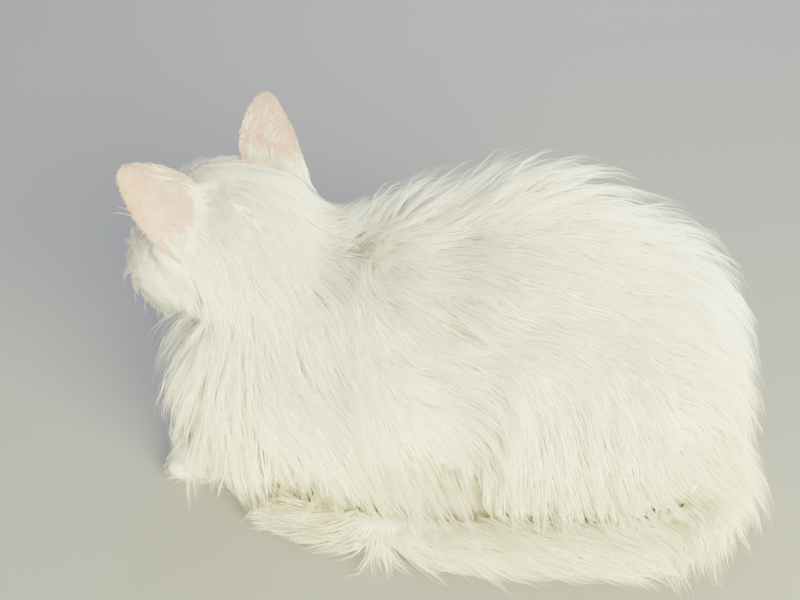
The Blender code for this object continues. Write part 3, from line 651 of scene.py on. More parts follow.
def layAt(region, point):
    if region in ("head", "face"):
        ahead = (headBack @ point).x
        fromNose = (point - head @ Vector(noseSet["at"])).normalized()
        nape = head.to_3x3() @ Vector((-0.6, 0, 0)) + Vector((0, 0, -0.9))
        return fromNose.lerp(nape.normalized(), eased(0.015, -0.030, ahead))
    if region == "tail":
        # Towards the tip at its end, over its top and outwards halfway, and back again before the bend
        swept = eased(-0.080, 0.010, point.x)
        way = tailWayAt(point).lerp(Vector(laySet["tailSweep"]), swept)
        way += Vector(laySet["tailOut"]) * 4 * swept * (1 - swept)
        return way.lerp(Vector(laySet["rump"]), eased(0.115, 0.145, point.x))
    if region == "paw":
        return Vector((-1, 0, -0.3))
    if region == "leg" and point.x < 0:
        return sided(laySet["arm"], point)
    trunkWay = sided(laySet["neck"], point).lerp(sided(laySet["back"], point),
                                                 eased(laySet["neckFrom"], laySet["neckTo"], point.x))
    trunkWay.z -= laySet["sinks"] * eased(0.11, 0.04, point.z)
    thighWay = sided(laySet["back"], point)
    thighWay = thighWay.lerp(sided(laySet["thigh"], point), eased(0.150, 0.100, point.z))
    return trunkWay.lerp(thighWay, thighShare(point))


def dipAt(point):
    # What share of its height the coat keeps there
    keep = 1.0
    inHead = headBack @ point
    for spot, hollows in ((inHead, headHollows), (point, bodyHollows)):
        folded = Vector((spot.x, abs(spot.y), spot.z))
        for at, radius, depth in hollows:
            apart = (folded - Vector(at)).length / radius
            if apart < 2.5:
                keep *= 1 - depth * math.exp(-apart * apart)
    return keep


def traceGuide(region, root, plan, length, rise, turn):
    # A line along the coat's lie, from its root up to the outer surface. Short hair and the hair low
    # down is led over the skin, and all other hair over the outer surface at the depth left below it.
    root = Vector(root)
    overSkin = region in ("face", "paw") or root.z < laySet["low"]
    overSkin = overSkin or skinGround.evened(root, plan["over"])[1].z < laySet["hangs"]
    ground = skinGround if overSkin else outerGround
    at, out = ground.evened(root, plan["over"])
    depth = max((at - root).dot(out), 0.001)
    sinks = (at - root).normalized() if (at - root).length > 0.002 and (at - root).dot(out) > 0 else out
    line, sides, outs = [], [], []
    steps = plan["steps"]
    for step in range(steps):
        share = step / (steps - 1)
        swirl = laySet["swirl"] * noise.noise(at / laySet["swirlSize"])
        swirl += laySet["ripple"] * noise.noise(at / laySet["rippleSize"])
        way = layAt(region, at)
        way = Matrix.Rotation(turn + swirl, 3, out) @ (way - out * way.dot(out)).normalized()
        lift = rise * (1 - (1 - share) ** 1.7)
        if overSkin:
            height = outerGround.tree.find_nearest(at)[0] - at
            height *= min(1.0, plan["tallest"] / max(height.length, 1e-6))
            spot = at + height * lift * dipAt(at + height)
        else:
            deep = min(depth, (at - skinGround.tree.find_nearest(at)[0]).length)
            deep = depth + (deep - depth) * share
            spot = at - sinks.lerp(out, share).normalized() * deep * (1 - lift * dipAt(at))
        line.append(spot - out * 0.0006 * (1 - share))
        sides.append(out.cross(way).normalized())
        outs.append(out)
        if step < steps - 1:
            goal = at + way * length / (steps - 1)
            near, facing = ground.evened(goal, plan["over"])
            if facing.z < laySet["hangs"] and goal.z < laySet["hangsUnder"]:
                # Under the body's edge long hair hangs straight instead of following the surface
                out = Vector((out.x, out.y, max(out.z, 0))).normalized()
                at = goal + out * length / (steps - 1) * laySet["splays"] * (1.0 if overSkin else 0.1)
            else:
                at, out = near, facing
    return line, sides, outs


def spaced(spots, room):
    # Which of the spots stay, each at least its own room from those before it
    cells = {}
    stay = []
    largest = room.max()
    for index, (spot, apart) in enumerate(zip(spots, room)):
        key = tuple((spot // largest).astype(int))
        near = [other for x in (-1, 0, 1) for y in (-1, 0, 1) for z in (-1, 0, 1)
                for other in cells.get((key[0] + x, key[1] + y, key[2] + z), ())]
        if near and np.min(np.linalg.norm(spots[near] - spot, axis=1)) < apart:
            continue
        stay.append(index)
        cells.setdefault(key, []).append(index)
    return np.array(stay)


# Each part's coat: metres between tufts, their length, strands in each, half width of a tuft at its
# root, its depth, a strand's half width, how far tips gather, curl, the shortest strand's share, points
# in a guide, the metres that its ground is evened over, the shares of the coat's depth that it rises
# to, the most it rises, and the share of tufts that stand out
coatSet = {
    "torso": {"room": 0.0056, "length": 0.052, "strands": 12, "spread": 0.0046, "depth": 0.0018,
              "width": 0.00030, "gather": 0.70, "curl": 0.0042, "shortest": 0.55, "steps": 5, "over": 0.008,
              "rise": (0.66, 1.04), "tallest": 0.030, "stray": 0.20},
    "leg": {"room": 0.0052, "length": 0.036, "strands": 11, "spread": 0.0042, "depth": 0.0016,
            "width": 0.00030, "gather": 0.62, "curl": 0.0040, "shortest": 0.58, "steps": 4, "over": 0.007,
            "rise": (0.70, 1.05), "tallest": 0.030, "stray": 0.05},
    "neck": {"room": 0.0046, "length": 0.042, "strands": 12, "spread": 0.0038, "depth": 0.0016,
             "width": 0.00028, "gather": 0.60, "curl": 0.0040, "shortest": 0.58, "steps": 4, "over": 0.007,
             "rise": (0.70, 1.05), "tallest": 0.030, "stray": 0.05},
    "tail": {"room": 0.0040, "length": 0.036, "strands": 12, "spread": 0.0036, "depth": 0.0018,
             "width": 0.00028, "gather": 0.58, "curl": 0.0050, "shortest": 0.55, "steps": 4, "over": 0.005,
             "rise": (0.60, 1.05), "tallest": 0.024, "stray": 0.10},
    "head": {"room": 0.0031, "length": 0.010, "strands": 10, "spread": 0.0026, "depth": 0.0009,
             "width": 0.00022, "gather": 0.50, "curl": 0.0020, "shortest": 0.58, "steps": 4, "over": 0.004,
             "rise": (0.60, 1.00), "tallest": 0.020, "stray": 0.03},
    "face": {"room": 0.0017, "length": 0.0050, "strands": 7, "spread": 0.0013, "depth": 0.0003,
             "width": 0.00014, "gather": 0.40, "curl": 0.0006, "shortest": 0.55, "steps": 3, "over": 0.002,
             "rise": (0.45, 0.90), "tallest": 0.004, "stray": 0.0},
    "paw": {"room": 0.0030, "length": 0.0085, "strands": 6, "spread": 0.0017, "depth": 0.0003,
            "width": 0.00016, "gather": 0.40, "curl": 0.0008, "shortest": 0.55, "steps": 3, "over": 0.002,
            "rise": (0.40, 0.80), "tallest": 0.003, "stray": 0.0},
}
# The soft undercoat: fewer, shorter and wider tufts that fill the depth below
underSet = {"room": 1.30, "length": 0.62, "strands": 4, "spread": 1.35, "depth": 0.8, "width": 0.00115,
            "gather": 0.25, "curl": 0.7, "rise": (0.22, 0.58),
            "parts": ("torso", "leg", "neck", "tail", "head")}
# The lie spreads at the withers, so the tufts stand closer there
withersSet = {"at": (-0.042, 0.026, 0.140), "radius": 0.038, "denser": 0.26}
# Where the face starts, and how far the hair stays from the eyes' openings and the nose
faceSet = {"from": 0.026, "eyeAhead": 0.0085, "eyeClear": 0.0094, "ballClear": 0.0003, "noseClear": 0.0048}
rootSet = {"tries": 110000, "lowest": 0.003}

skinGround = Ground(skin)
outerGround = Ground(outer)
bpy.data.objects.remove(outer)


def underPlan(plan):
    made = dict(plan)
    for key in ("room", "length", "spread", "depth", "curl"):
        made[key] = plan[key] * underSet[key]
    made.update(strands=underSet["strands"], gather=underSet["gather"], rise=underSet["rise"], stray=0.0,
                width=underSet["width"] * plan["room"] / coatSet["torso"]["room"], steps=4)
    return made


def rootsOf(plans, rng):
    # The tufts' roots: where, on which part, and where on the skin's unwrap
    spots, ways, flat = skinGround.scatter(rootSet["tries"], rng)
    distances = formDistances(spots)
    names = list(distances)
    region = np.array(names)[np.argmin([distances[name] for name in names], axis=0)]
    inHead = toHead(spots)
    region[(region == "head") & (inHead[:, 0] > faceSet["from"])] = "face"
    under = (ways[:, 2] < -0.8) & (spots[:, 2] < 0.015)
    keep = (spots[:, 2] > rootSet["lowest"]) & ~under & np.isin(region, list(plans))
    for side in (1, -1):
        eye, looks = (np.array(mirrored(eyeSet[key], side)) for key in ("at", "looks"))
        opening = eye + faceSet["eyeAhead"] * looks
        keep &= np.linalg.norm(inHead - opening, axis=1) > faceSet["eyeClear"]
        keep &= np.linalg.norm(inHead - eye, axis=1) > eyeSet["radius"] + faceSet["ballClear"]
    keep &= np.linalg.norm(inHead - np.array(noseSet["at"]), axis=1) > faceSet["noseClear"]
    spots, flat, region = spots[keep], flat[keep], region[keep]
    room = np.array([plans[name]["room"] for name in region])
    folded = np.stack([spots[:, 0], np.abs(spots[:, 1]), spots[:, 2]], axis=1)
    apart = np.linalg.norm(folded - withersSet["at"], axis=1)
    room *= 1 - withersSet["denser"] * np.exp(-np.square(apart / withersSet["radius"]))
    stay = spaced(spots, room)
    return spots[stay], flat[stay], region[stay]


def lengthAt(name, spot, inHead, plain):
    # The coat is short on the face and grows to the nape and cheeks. It is longest on the rump and
    # low on the chest, and short at the end of the tail.
    if name == "face":
        return plain + 0.0045 * eased(0.050, 0.026, inHead[0])
    if name == "head":
        crown, nape = eased(0.026, -0.012, inHead[0]), eased(-0.012, -0.040, inHead[0])
        cheek = eased(0.020, 0.038, abs(inHead[1])) * eased(0.010, -0.005, inHead[2])
        return plain + 0.012 * crown + 0.016 * nape + 0.005 * cheek
    if name == "tail":
        return plain * (0.45 + 0.55 * eased(-0.115, -0.060, spot[0]))
    if name == "leg":
        return plain * (1 + 0.30 * eased(0.075, 0.040, spot[2]))
    if name == "torso":
        plain *= 1 - 0.28 * thighShare(Vector(spot))
        bib = eased(0.09, 0.05, spot[2]) * eased(-0.08, -0.12, spot[0])
        return plain * (1 + 0.20 * eased(0.08, 0.13, spot[0]) + 0.25 * bib)
    return plain


def makeGuides(plans, rng):
    spots, flat, region = rootsOf(plans, rng)
    inHead = toHead(spots)
    guides = {}
    for index, (spot, name) in enumerate(zip(spots, region)):
        plan = plans[name]
        length = lengthAt(name, spot, inHead[index], plan["length"]) * rng.uniform(0.80, 1.20)
        lock = noise.noise(Vector(spot) / 0.016)
        rise = rng.uniform(*plan["rise"]) * (1 + 0.22 * lock)
        if rng.random() < plan["stray"] * (1 + 1.2 * eased(0.05, 0.11, spot[0])):
            rise, length = rng.uniform(1.12, 1.36), length * 1.05
        turn = rng.uniform(-0.20, 0.20)
        line = traceGuide(name, spot, plan, length, rise, turn)
        guides.setdefault(name, []).append((*line, flat[index], rng.uniform(0.80, 1.15)))
    return guides


coatReach = 0.005  # metres that guides may go past the solids' box


def guideMesh(name, guides):
    # Guides as loose lines of a mesh, with what the tree needs to know at their points
    steps = len(guides[0][0])
    lines = np.array([guide[0] for guide in guides], np.float32)
    lines = np.clip(lines, np.array(cadBox[0]) - coatReach, np.array(cadBox[1]) + coatReach)
    lines[:, :, 2] = np.maximum(lines[:, :, 2], 0.0010)
    count = len(guides)
    mesh = bpy.data.meshes.new(name)
    first = np.arange(count)[:, None] * steps + np.arange(steps - 1)[None, :]
    edges = np.stack([first, first + 1], axis=-1).reshape(-1, 2)
    mesh.from_pydata(lines.reshape(-1, 3), edges, [])
    for key, place in (("side", 1), ("out", 2)):
        values = np.array([guide[place] for guide in guides], np.float32).reshape(-1)
        mesh.attributes.new(key, "FLOAT_VECTOR", "POINT").data.foreach_set("vector", values)
    flat = np.zeros((count, steps, 3), np.float32)
    flat[:, :, :2] = np.array([guide[3] for guide in guides])[:, None, :]
    mesh.attributes.new("root", "FLOAT_VECTOR", "POINT").data.foreach_set("vector", flat.reshape(-1))
    size = np.repeat(np.array([guide[4] for guide in guides], np.float32), steps)
    mesh.attributes.new("size", "FLOAT", "POINT").data.foreach_set("value", size)
    return mesh


tuftInputs = {"Strands": "Int", "Spread": "Float", "Depth": "Float", "Gather": "Float", "Curl": "Float",
              "Curl Size": "Float", "Width": "Float", "Flatness": "Float", "Shortest": "Float",
              "Seed": "Int", "Finish": "Material"}


def makeTuftTree():
    # Turns every guide into a tuft: strands side by side that gather, curl and taper to their tips
    tree = bpy.data.node_groups.new("tufts", "GeometryNodeTree")
    tree.interface.new_socket("Geometry", in_out="INPUT", socket_type="NodeSocketGeometry")
    tree.interface.new_socket("Geometry", in_out="OUTPUT", socket_type="NodeSocketGeometry")
    for name, kind in tuftInputs.items():
        tree.interface.new_socket(name, in_out="INPUT", socket_type="NodeSocket" + kind)
    given = addNode(tree, "NodeGroupInput").outputs
    number, vector, attribute = "ShaderNodeMath", "ShaderNodeVectorMath", "GeometryNodeInputNamedAttribute"
    times, less, power, larger, scaled, plus = (
        {"operation": name} for name in ("MULTIPLY", "SUBTRACT", "POWER", "MAXIMUM", "SCALE", "ADD"))

    # Each strand is a copy of its guide with three random numbers: aside, deep and short
    lines = addNode(tree, "GeometryNodeMeshToCurve", None, {"Mesh": given["Geometry"]})
    many = addNode(tree, "GeometryNodeDuplicateElements", {"domain": "SPLINE"},
                   {"Geometry": lines, "Amount": given["Strands"]})
    draw = addNode(tree, "FunctionNodeRandomValue", {"data_type": "FLOAT_VECTOR"},
                   {"Min": (-1, -1, 0), "Max": (1, 1, 1), "Seed": given["Seed"]})
    kept = addNode(tree, "GeometryNodeCaptureAttribute", {"domain": "CURVE"})
    kept.capture_items.new("VECTOR", "draw")
    tree.links.new(many.outputs[0], kept.inputs["Geometry"])
    tree.links.new(draw.outputs["Value"], kept.inputs["draw"])
    drawn = addNode(tree, "ShaderNodeSeparateXYZ", None, {0: kept.outputs["draw"]})
    along = addNode(tree, "GeometryNodeSplineParameter").outputs["Factor"]
    size = addNode(tree, attribute, {"data_type": "FLOAT"}, {"Name": "size"})
    sideways, outwards = (addNode(tree, attribute, {"data_type": "FLOAT_VECTOR"}, {"Name": name})
                          for name in ("side", "out"))

    # Aside from the guide, less so towards the tip, and deeper or less deep in the tuft
    bent = addNode(tree, number, power, {0: along, 1: 0.8})
    gathered = addNode(tree, number, times, {0: given["Gather"], 1: bent})
    narrow = addNode(tree, number, less, {0: 1.0, 1: gathered})
    aside = addNode(tree, number, times, {0: drawn.outputs[0], 1: given["Spread"]})
    narrow = addNode(tree, number, times, {0: size, 1: narrow})
    wide = addNode(tree, number, times, {0: aside, 1: narrow})
    deep = addNode(tree, number, times, {0: drawn.outputs[1], 1: given["Depth"]})
    rising = addNode(tree, number, {"operation": "MULTIPLY_ADD"}, {0: along, 1: 0.7, 2: 0.5})
    deep = addNode(tree, number, times, {0: deep, 1: rising})
    across = addNode(tree, vector, scaled, {0: sideways, "Scale": wide})
    outward = addNode(tree, vector, scaled, {0: outwards, "Scale": deep})

    # A curl from smooth noise that grows towards the tip
    fine = addNode(tree, number, {"operation": "DIVIDE"}, {0: 1.0, 1: given["Curl Size"]})
    where = addNode(tree, "GeometryNodeInputPosition")
    where = addNode(tree, vector, scaled, {0: where, "Scale": fine})
    own = addNode(tree, vector, scaled, {0: kept.outputs["draw"], "Scale": 0.6})
    grain = addNode(tree, vector, plus, {0: where, 1: own})
    wave = addNode(tree, "ShaderNodeTexNoise", None, {"Vector": grain, "Scale": 1.0, "Detail": 1.0})
    swing = addNode(tree, vector, less, {0: wave.outputs["Color"], 1: (0.5, 0.5, 0.5)})
    strong = addNode(tree, number, times, {0: given["Curl"], 1: 2.0})
    strong = addNode(tree, number, times, {0: strong, 1: along})
    curl = addNode(tree, vector, scaled, {0: swing, "Scale": strong})
    offset = addNode(tree, vector, plus, {0: across, 1: outward})
    offset = addNode(tree, vector, plus, {0: offset, 1: curl})
    moved = addNode(tree, "GeometryNodeSetPosition", None,
                    {"Geometry": kept.outputs["Geometry"], "Offset": offset})

    # Strands end at different lengths
    cut = addNode(tree, number, less, {0: 1.0, 1: given["Shortest"]})
    cut = addNode(tree, number, times, {0: cut, 1: drawn.outputs[2]})
    end = addNode(tree, number, less, {0: 1.0, 1: cut})
    marked = addNode(tree, "GeometryNodeTrimCurve", None, {"Curve": moved, "End": end})
    for name, value in (("along", along), ("tone", drawn.outputs[0])):
        marked = addNode(tree, "GeometryNodeStoreNamedAttribute", {"data_type": "FLOAT", "domain": "POINT"},
                         {"Geometry": marked, "Name": name, "Value": value})

    # A flat three-sided blade, lying along the coat and tapered to its tip
    ring = addNode(tree, "GeometryNodeCurvePrimitiveCircle", None, {"Resolution": 3, "Radius": 1.0})
    index = addNode(tree, "GeometryNodeInputIndex")
    profile = addNode(tree, "GeometryNodeStoreNamedAttribute", {"data_type": "FLOAT", "domain": "POINT"},
                      {"Geometry": ring, "Name": "around", "Value": index})
    blade = addNode(tree, "ShaderNodeCombineXYZ", None, {0: given["Flatness"], 1: 1.0, 2: 1.0})
    profile = addNode(tree, "GeometryNodeTransform", None, {"Geometry": profile, "Scale": blade})
    faced = addNode(tree, "GeometryNodeSetCurveNormal", {"mode": "FREE"},
                    {"Curve": marked, "Normal": outwards})
    left = addNode(tree, number, less, {0: 1.0, 1: along})
    taper = addNode(tree, number, power, {0: left, 1: 0.7})
    taper = addNode(tree, number, larger, {0: taper, 1: 0.04})
    thick = addNode(tree, number, times, {0: given["Width"], 1: size})
    thick = addNode(tree, number, times, {0: thick, 1: taper})
    swept = addNode(tree, "GeometryNodeCurveToMesh", None,
                    {"Curve": faced, "Profile Curve": profile, "Scale": thick, "Fill Caps": True})
    smooth = addNode(tree, "GeometryNodeSetShadeSmooth", None, {"Geometry": swept})
    real = addNode(tree, "GeometryNodeRealizeInstances", None, {"Geometry": smooth})
    dressed = addNode(tree, "GeometryNodeSetMaterial", None, {"Geometry": real, "Material": given["Finish"]})
    addNode(tree, "NodeGroupOutput", None, {"Geometry": dressed})
    return tree


# Shared by all tufts: the size of a curl, a blade's thickness over its width, the side of a tuft's patch
# on the unwrap, the lowest a strand comes, and the most triangles in a piece
sweepSet = {"curlSize": 0.012, "flatness": 0.45, "patch": 0.003, "lowest": 0.0003, "most": 195000}


def sweepTufts(name, guides, plan, finish, seed):
    piece = addObject(name, guideMesh(name, guides))
    step = piece.modifiers.new("tufts", "NODES")
    step.node_group = tuftTree
    values = {key.title(): plan[key] for key in ("strands", "spread", "depth", "gather", "curl", "width",
                                                 "shortest")}
    values.update({"Curl Size": sweepSet["curlSize"], "Flatness": plan.get("flatness", sweepSet["flatness"]),
                   "Seed": seed, "Finish": finish})
    for item in tuftTree.interface.items_tree:
        if item.in_out == "INPUT" and item.name in values:
            step[item.identifier] = values[item.name]
    piece = settled(piece, name)
    mesh = piece.data
    read = {}
    for key, size, kind in (("along", 1, "value"), ("around", 1, "value"), ("root", 3, "vector")):
        read[key] = np.empty(len(mesh.vertices) * size, np.float32)
        mesh.attributes[key].data.foreach_get(kind, read[key])
    corner = np.empty(len(mesh.loops), np.int32)
    mesh.loops.foreach_get("vertex_index", corner)
    patch = sweepSet["patch"]
    root = read["root"].reshape(-1, 3)[corner]
    flat = np.stack([root[:, 0] + patch * (read["around"][corner] / 3 - 0.33),
                     root[:, 1] + patch * (read["along"][corner] - 0.5)], axis=1)
    mesh.uv_layers.new(name="OFBake").data.foreach_set("uv", flat.astype(np.float32).ravel())
    for key in ("around", "root", "side", "out", "size"):
        if key in mesh.attributes:
            mesh.attributes.remove(mesh.attributes[key])
    places = placesOf(mesh)
    places[:, 2] = np.maximum(places[:, 2], sweepSet["lowest"])
    mesh.vertices.foreach_set("co", places.ravel())
    mesh.update()
    return piece


def finishOf(name, colour, roughness):
    finish = bpy.data.materials.new(name)
    finish.use_nodes = True
    shader = finish.node_tree.nodes["Principled BSDF"]
    shader.inputs["Base Color"].default_value = linear(colour)
    shader.inputs["Roughness"].default_value = roughness
    return finish, finish.node_tree, shader


# The coat's colours: white, creamier low down, and darker and creamier at the roots as painted shade in the
# coat's depth
furSet = {"white": "#F8F8EF", "cool": "#F5F7F6", "cream": "#F6F0C4", "deep": "#F0E9C4", "creamFrom": 0.135,
          "creamTo": 0.020}


def creamShare(tree):
    # How creamy the coat is, from 0 high up to 1 at the floor, in soft patches 40 mm across
    where = addNode(tree, "ShaderNodeTexCoord").outputs["Object"]
    high = addNode(tree, "ShaderNodeSeparateXYZ", None, {0: where}).outputs["Z"]
    patches = addNode(tree, "ShaderNodeTexNoise", None, {"Vector": where, "Scale": 25.0, "Detail": 2.0})
    shifted = addNode(tree, "ShaderNodeMath", {"operation": "MULTIPLY_ADD"},
                      {0: patches.outputs["Fac"], 1: 0.08, 2: high})
    share = addNode(tree, "ShaderNodeMapRange", {"interpolation_type": "SMOOTHSTEP"},
                    {"Value": shifted.outputs[0], "From Min": furSet["creamTo"] + 0.04,
                     "From Max": furSet["creamFrom"] + 0.04, "To Min": 1.0, "To Max": 0.0})
    return share.outputs[0]


def furMaterial():
    # White cat hair: a clear, slightly glossy shaft, so dense tufts read bright, with painted shade, darker
    # and creamier, towards the roots
    finish, tree, shader = finishOf("longWhiteHair", furSet["white"], 0.60)
    along = addNode(tree, "ShaderNodeAttribute", {"attribute_name": "along"}).outputs["Fac"]
    tone = addNode(tree, "ShaderNodeAttribute", {"attribute_name": "tone"}).outputs["Fac"]
    upper = addNode(tree, "ShaderNodeMix", {"data_type": "RGBA"},
                    {0: creamShare(tree), 6: linear(furSet["white"]), 7: linear(furSet["cream"])})
    # Painted shade: the strands darken towards their roots, as if shaded deep in the coat
    depth = addNode(tree, "ShaderNodeMapRange", None,
                    {"Value": along, "From Max": 0.45, "To Min": 0.7, "To Max": 0.0})
    shade = addNode(tree, "ShaderNodeMix", {"data_type": "RGBA"},
                    {0: depth.outputs[0], 6: upper.outputs[2], 7: linear(furSet["deep"])})
    vary = addNode(tree, "ShaderNodeMapRange", None,
                   {"Value": tone, "From Min": -1.0, "To Min": 0.0, "To Max": 0.5})
    final = addNode(tree, "ShaderNodeMix", {"data_type": "RGBA"},
                    {0: vary.outputs[0], 6: shade.outputs[2], 7: linear(furSet["cool"])})
    tree.links.new(final.outputs[2], shader.inputs["Base Color"])
    shader.inputs["Specular IOR Level"].default_value = 0.30
    return finish


def skinMaterial():
    # Pink skin, white where the short coat covers it, with a grain as fine as short hair
    finish, tree, shader = finishOf("furredSkin", "#F4E9DE", 0.70)
    bare = addNode(tree, "ShaderNodeAttribute", {"attribute_name": "bare"}).outputs["Fac"]
    shown = addNode(tree, "ShaderNodeMapRange", {"interpolation_type": "SMOOTHSTEP"},
                    {"Value": bare, "From Max": 0.8})
    coloured = addNode(tree, "ShaderNodeMix", {"data_type": "RGBA"},
                       {0: shown.outputs[0], 6: linear("#F4E9DE"), 7: linear("#D9A092")})
    tree.links.new(coloured.outputs[2], shader.inputs["Base Color"])
    where = addNode(tree, "ShaderNodeTexCoord").outputs["Object"]
    grain = addNode(tree, "ShaderNodeTexNoise", None, {"Vector": where, "Scale": 1400.0, "Detail": 2.0})
    bump = addNode(tree, "ShaderNodeBump", None,
                   {"Strength": 0.25, "Distance": 0.0004, "Height": grain.outputs["Fac"]})
    tree.links.new(bump.outputs[0], shader.inputs["Normal"])
    return finish


def earMaterial():
    # Thin warm skin that light shines through a little, with faint veins of deeper pink
    finish, tree, shader = finishOf("thinEarSkin", "#BC9A86", 0.60)
    where = addNode(tree, "ShaderNodeTexCoord").outputs["Object"]
    veins = addNode(tree, "ShaderNodeTexNoise", None, {"Vector": where, "Scale": 130.0, "Detail": 4.0})
    share = addNode(tree, "ShaderNodeMapRange", None,
                    {"Value": veins.outputs["Fac"], "From Min": 0.35, "From Max": 0.7})
    tint = addNode(tree, "ShaderNodeMix", {"data_type": "RGBA"},
                   {0: share.outputs[0], 6: linear("#BC9A86"), 7: linear("#AA7F6B")})
    tree.links.new(tint.outputs[2], shader.inputs["Base Color"])
    shader.inputs["Subsurface Weight"].default_value = 0.12
    shader.inputs["Subsurface Radius"].default_value = (0.004, 0.0015, 0.001)
    shader.inputs["Subsurface Scale"].default_value = 1.0
    return finish


def noseMaterial():
    # Moist pink leather with a pebble grain of about half a millimetre
    finish, tree, shader = finishOf("noseLeather", "#DB9C8F", 0.42)
    where = addNode(tree, "ShaderNodeTexCoord").outputs["Object"]
    pebbles = addNode(tree, "ShaderNodeTexVoronoi", None, {"Vector": where, "Scale": 1900.0})
    bump = addNode(tree, "ShaderNodeBump", None,
                   {"Strength": 0.35, "Distance": 0.0003, "Height": pebbles.outputs["Distance"]})
    tree.links.new(bump.outputs[0], shader.inputs["Normal"])
    return finish


# Copper eyes: rings as shares of the iris map's half width
irisSet = {"inner": "#C98A2B", "outer": "#8A4A12", "edge": "#1D120B", "pupil": "#040303",
           "slit": (0.20, 0.60), "iris": 0.98}


def eyeMaterial():
    # A wet cornea over a copper iris with fine fibres, a dark edge and an upright pupil
    finish, tree, shader = finishOf("wetCopperEye", irisSet["inner"], 0.25)
    flat = addNode(tree, "ShaderNodeUVMap", {"uv_map": "iris"}).outputs[0]
    centred = addNode(tree, "ShaderNodeVectorMath", {"operation": "MULTIPLY_ADD"},
                      {0: flat, 1: (2, 2, 0), 2: (-1, -1, 0)}).outputs[0]
    parts = addNode(tree, "ShaderNodeSeparateXYZ", None, {0: centred})
    far = addNode(tree, "ShaderNodeVectorMath", {"operation": "LENGTH"}, {0: centred}).outputs["Value"]
    angle = addNode(tree, "ShaderNodeMath", {"operation": "ARCTAN2"},
                    {0: parts.outputs[1], 1: parts.outputs[0]})
    spun = addNode(tree, "ShaderNodeCombineXYZ", None, {0: angle, 1: far, 2: 0.0})
    spun = addNode(tree, "ShaderNodeVectorMath", {"operation": "MULTIPLY"}, {0: spun, 1: (14, 2.5, 1)})
    fibres = addNode(tree, "ShaderNodeTexNoise", None, {"Vector": spun, "Scale": 1.0, "Detail": 4.0})
    ring = addNode(tree, "ShaderNodeMath", {"operation": "MULTIPLY_ADD"},
                   {0: fibres.outputs["Fac"], 1: 0.5, 2: far})
    blend = addNode(tree, "ShaderNodeMapRange", None, {"Value": ring, "From Min": 0.45, "From Max": 1.15})
    iris = addNode(tree, "ShaderNodeMix", {"data_type": "RGBA"},
                   {0: blend.outputs[0], 6: linear(irisSet["inner"]), 7: linear(irisSet["outer"])})
    shaded = iris.outputs[2]
    rim = addNode(tree, "ShaderNodeMapRange", None,
                  {"Value": far, "From Min": irisSet["iris"] - 0.16, "From Max": irisSet["iris"]})
    shaded = addNode(tree, "ShaderNodeMix", {"data_type": "RGBA"},
                     {0: rim.outputs[0], 6: shaded, 7: linear(irisSet["edge"])}).outputs[2]
    wide, high = irisSet["slit"]
    oval = addNode(tree, "ShaderNodeVectorMath", {"operation": "MULTIPLY"},
                   {0: centred, 1: (1 / wide, 1 / high, 0)})
    inside = addNode(tree, "ShaderNodeVectorMath", {"operation": "LENGTH"}, {0: oval}).outputs["Value"]
    share = addNode(tree, "ShaderNodeMapRange", None,
                    {"Value": inside, "From Min": 0.92, "From Max": 1.08, "To Min": 1.0, "To Max": 0.0})
    final = addNode(tree, "ShaderNodeMix", {"data_type": "RGBA"},
                    {0: share.outputs[0], 6: shaded, 7: linear(irisSet["pupil"])})
    tree.links.new(final.outputs[2], shader.inputs["Base Color"])
    shader.inputs["Coat Weight"].default_value = 1.0
    shader.inputs["Coat Roughness"].default_value = 0.03
    return finish


def makeEye(side):
    # An eyeball with the clear bulge in front, turned on a lathe, and a flat map for its iris
    name = "eye_left" if side > 0 else "eye_right"
    place = eyeMatrix(side, 0.0, "gaze")
    bm = bmesh.new()
    rings = []
    for polar in np.linspace(0, math.pi, 40)[1:-1]:
        ball = eyeSet["radius"]
        ahead = eyeSet["corneaAhead"] * math.cos(polar)
        across = eyeSet["corneaAhead"] * math.sin(polar)
        bulge = ahead + math.sqrt(max(eyeSet["cornea"] ** 2 - across ** 2, 0))
        far = max(ball, bulge)
        wide, high = far * math.sin(polar), far * math.cos(polar)
        rings.append([bm.verts.new(place @ Vector((wide * math.cos(turn), wide * math.sin(turn), high)))
                      for turn in np.linspace(0, 2 * math.pi, 56, endpoint=False)])
    poles = [bm.verts.new(place @ Vector((0, 0, far))) for far in
             (eyeSet["corneaAhead"] + eyeSet["cornea"], -eyeSet["radius"])]
    for ring, after in zip(rings, rings[1:]):
        for one, two, three, four in zip(ring, ring[1:] + ring[:1], after[1:] + after[:1], after):
            bm.faces.new((one, two, three, four))
    for pole, ring in ((poles[0], rings[0]), (poles[1], rings[-1])):
        for one, two in zip(ring, ring[1:] + ring[:1]):
            bm.faces.new((pole, one, two))
    bmesh.ops.recalc_face_normals(bm, faces=bm.faces)
    flat = bm.loops.layers.uv.new("iris")
    back = place.inverted()
    for face in bm.faces:
        face.smooth = True
        for loop in face.loops:
            local = back @ loop.vert.co
            if local.z > 0:
                loop[flat].uv = (0.5 + local.x / eyeSet["radius"] / 2, 0.5 + local.y / eyeSet["radius"] / 2)
    piece = addObject(name.replace("eye_", "eyeball"), meshOf(name, bm))
    dressIn(piece, eyeFinish)
    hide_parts(name)
    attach(piece, "root")


def makeNose():
    bm = bmesh.new()
    for at, size in noseForms.values():
        for side in ((1, -1) if at[1] else (1,)):
            addBall(bm, mirrored(at, side), size, head, 3)
    piece = grownTogether("noseLeather", meshOf("nose", bm), noseSet["voxel"], 4)
    for at, size in nostrilForms.values():
        for side in ((1, -1) if at[1] else (1,)):
            bm = bmesh.new()
            addBall(bm, mirrored(at, side), size, head, 3)
            piece = cutBy(piece, addObject("hole", meshOf("hole", bm)), "DIFFERENCE")
    piece.data.shade_smooth()
    dressIn(piece, noseMaterial())
    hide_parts("nose")
    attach(piece, "root")


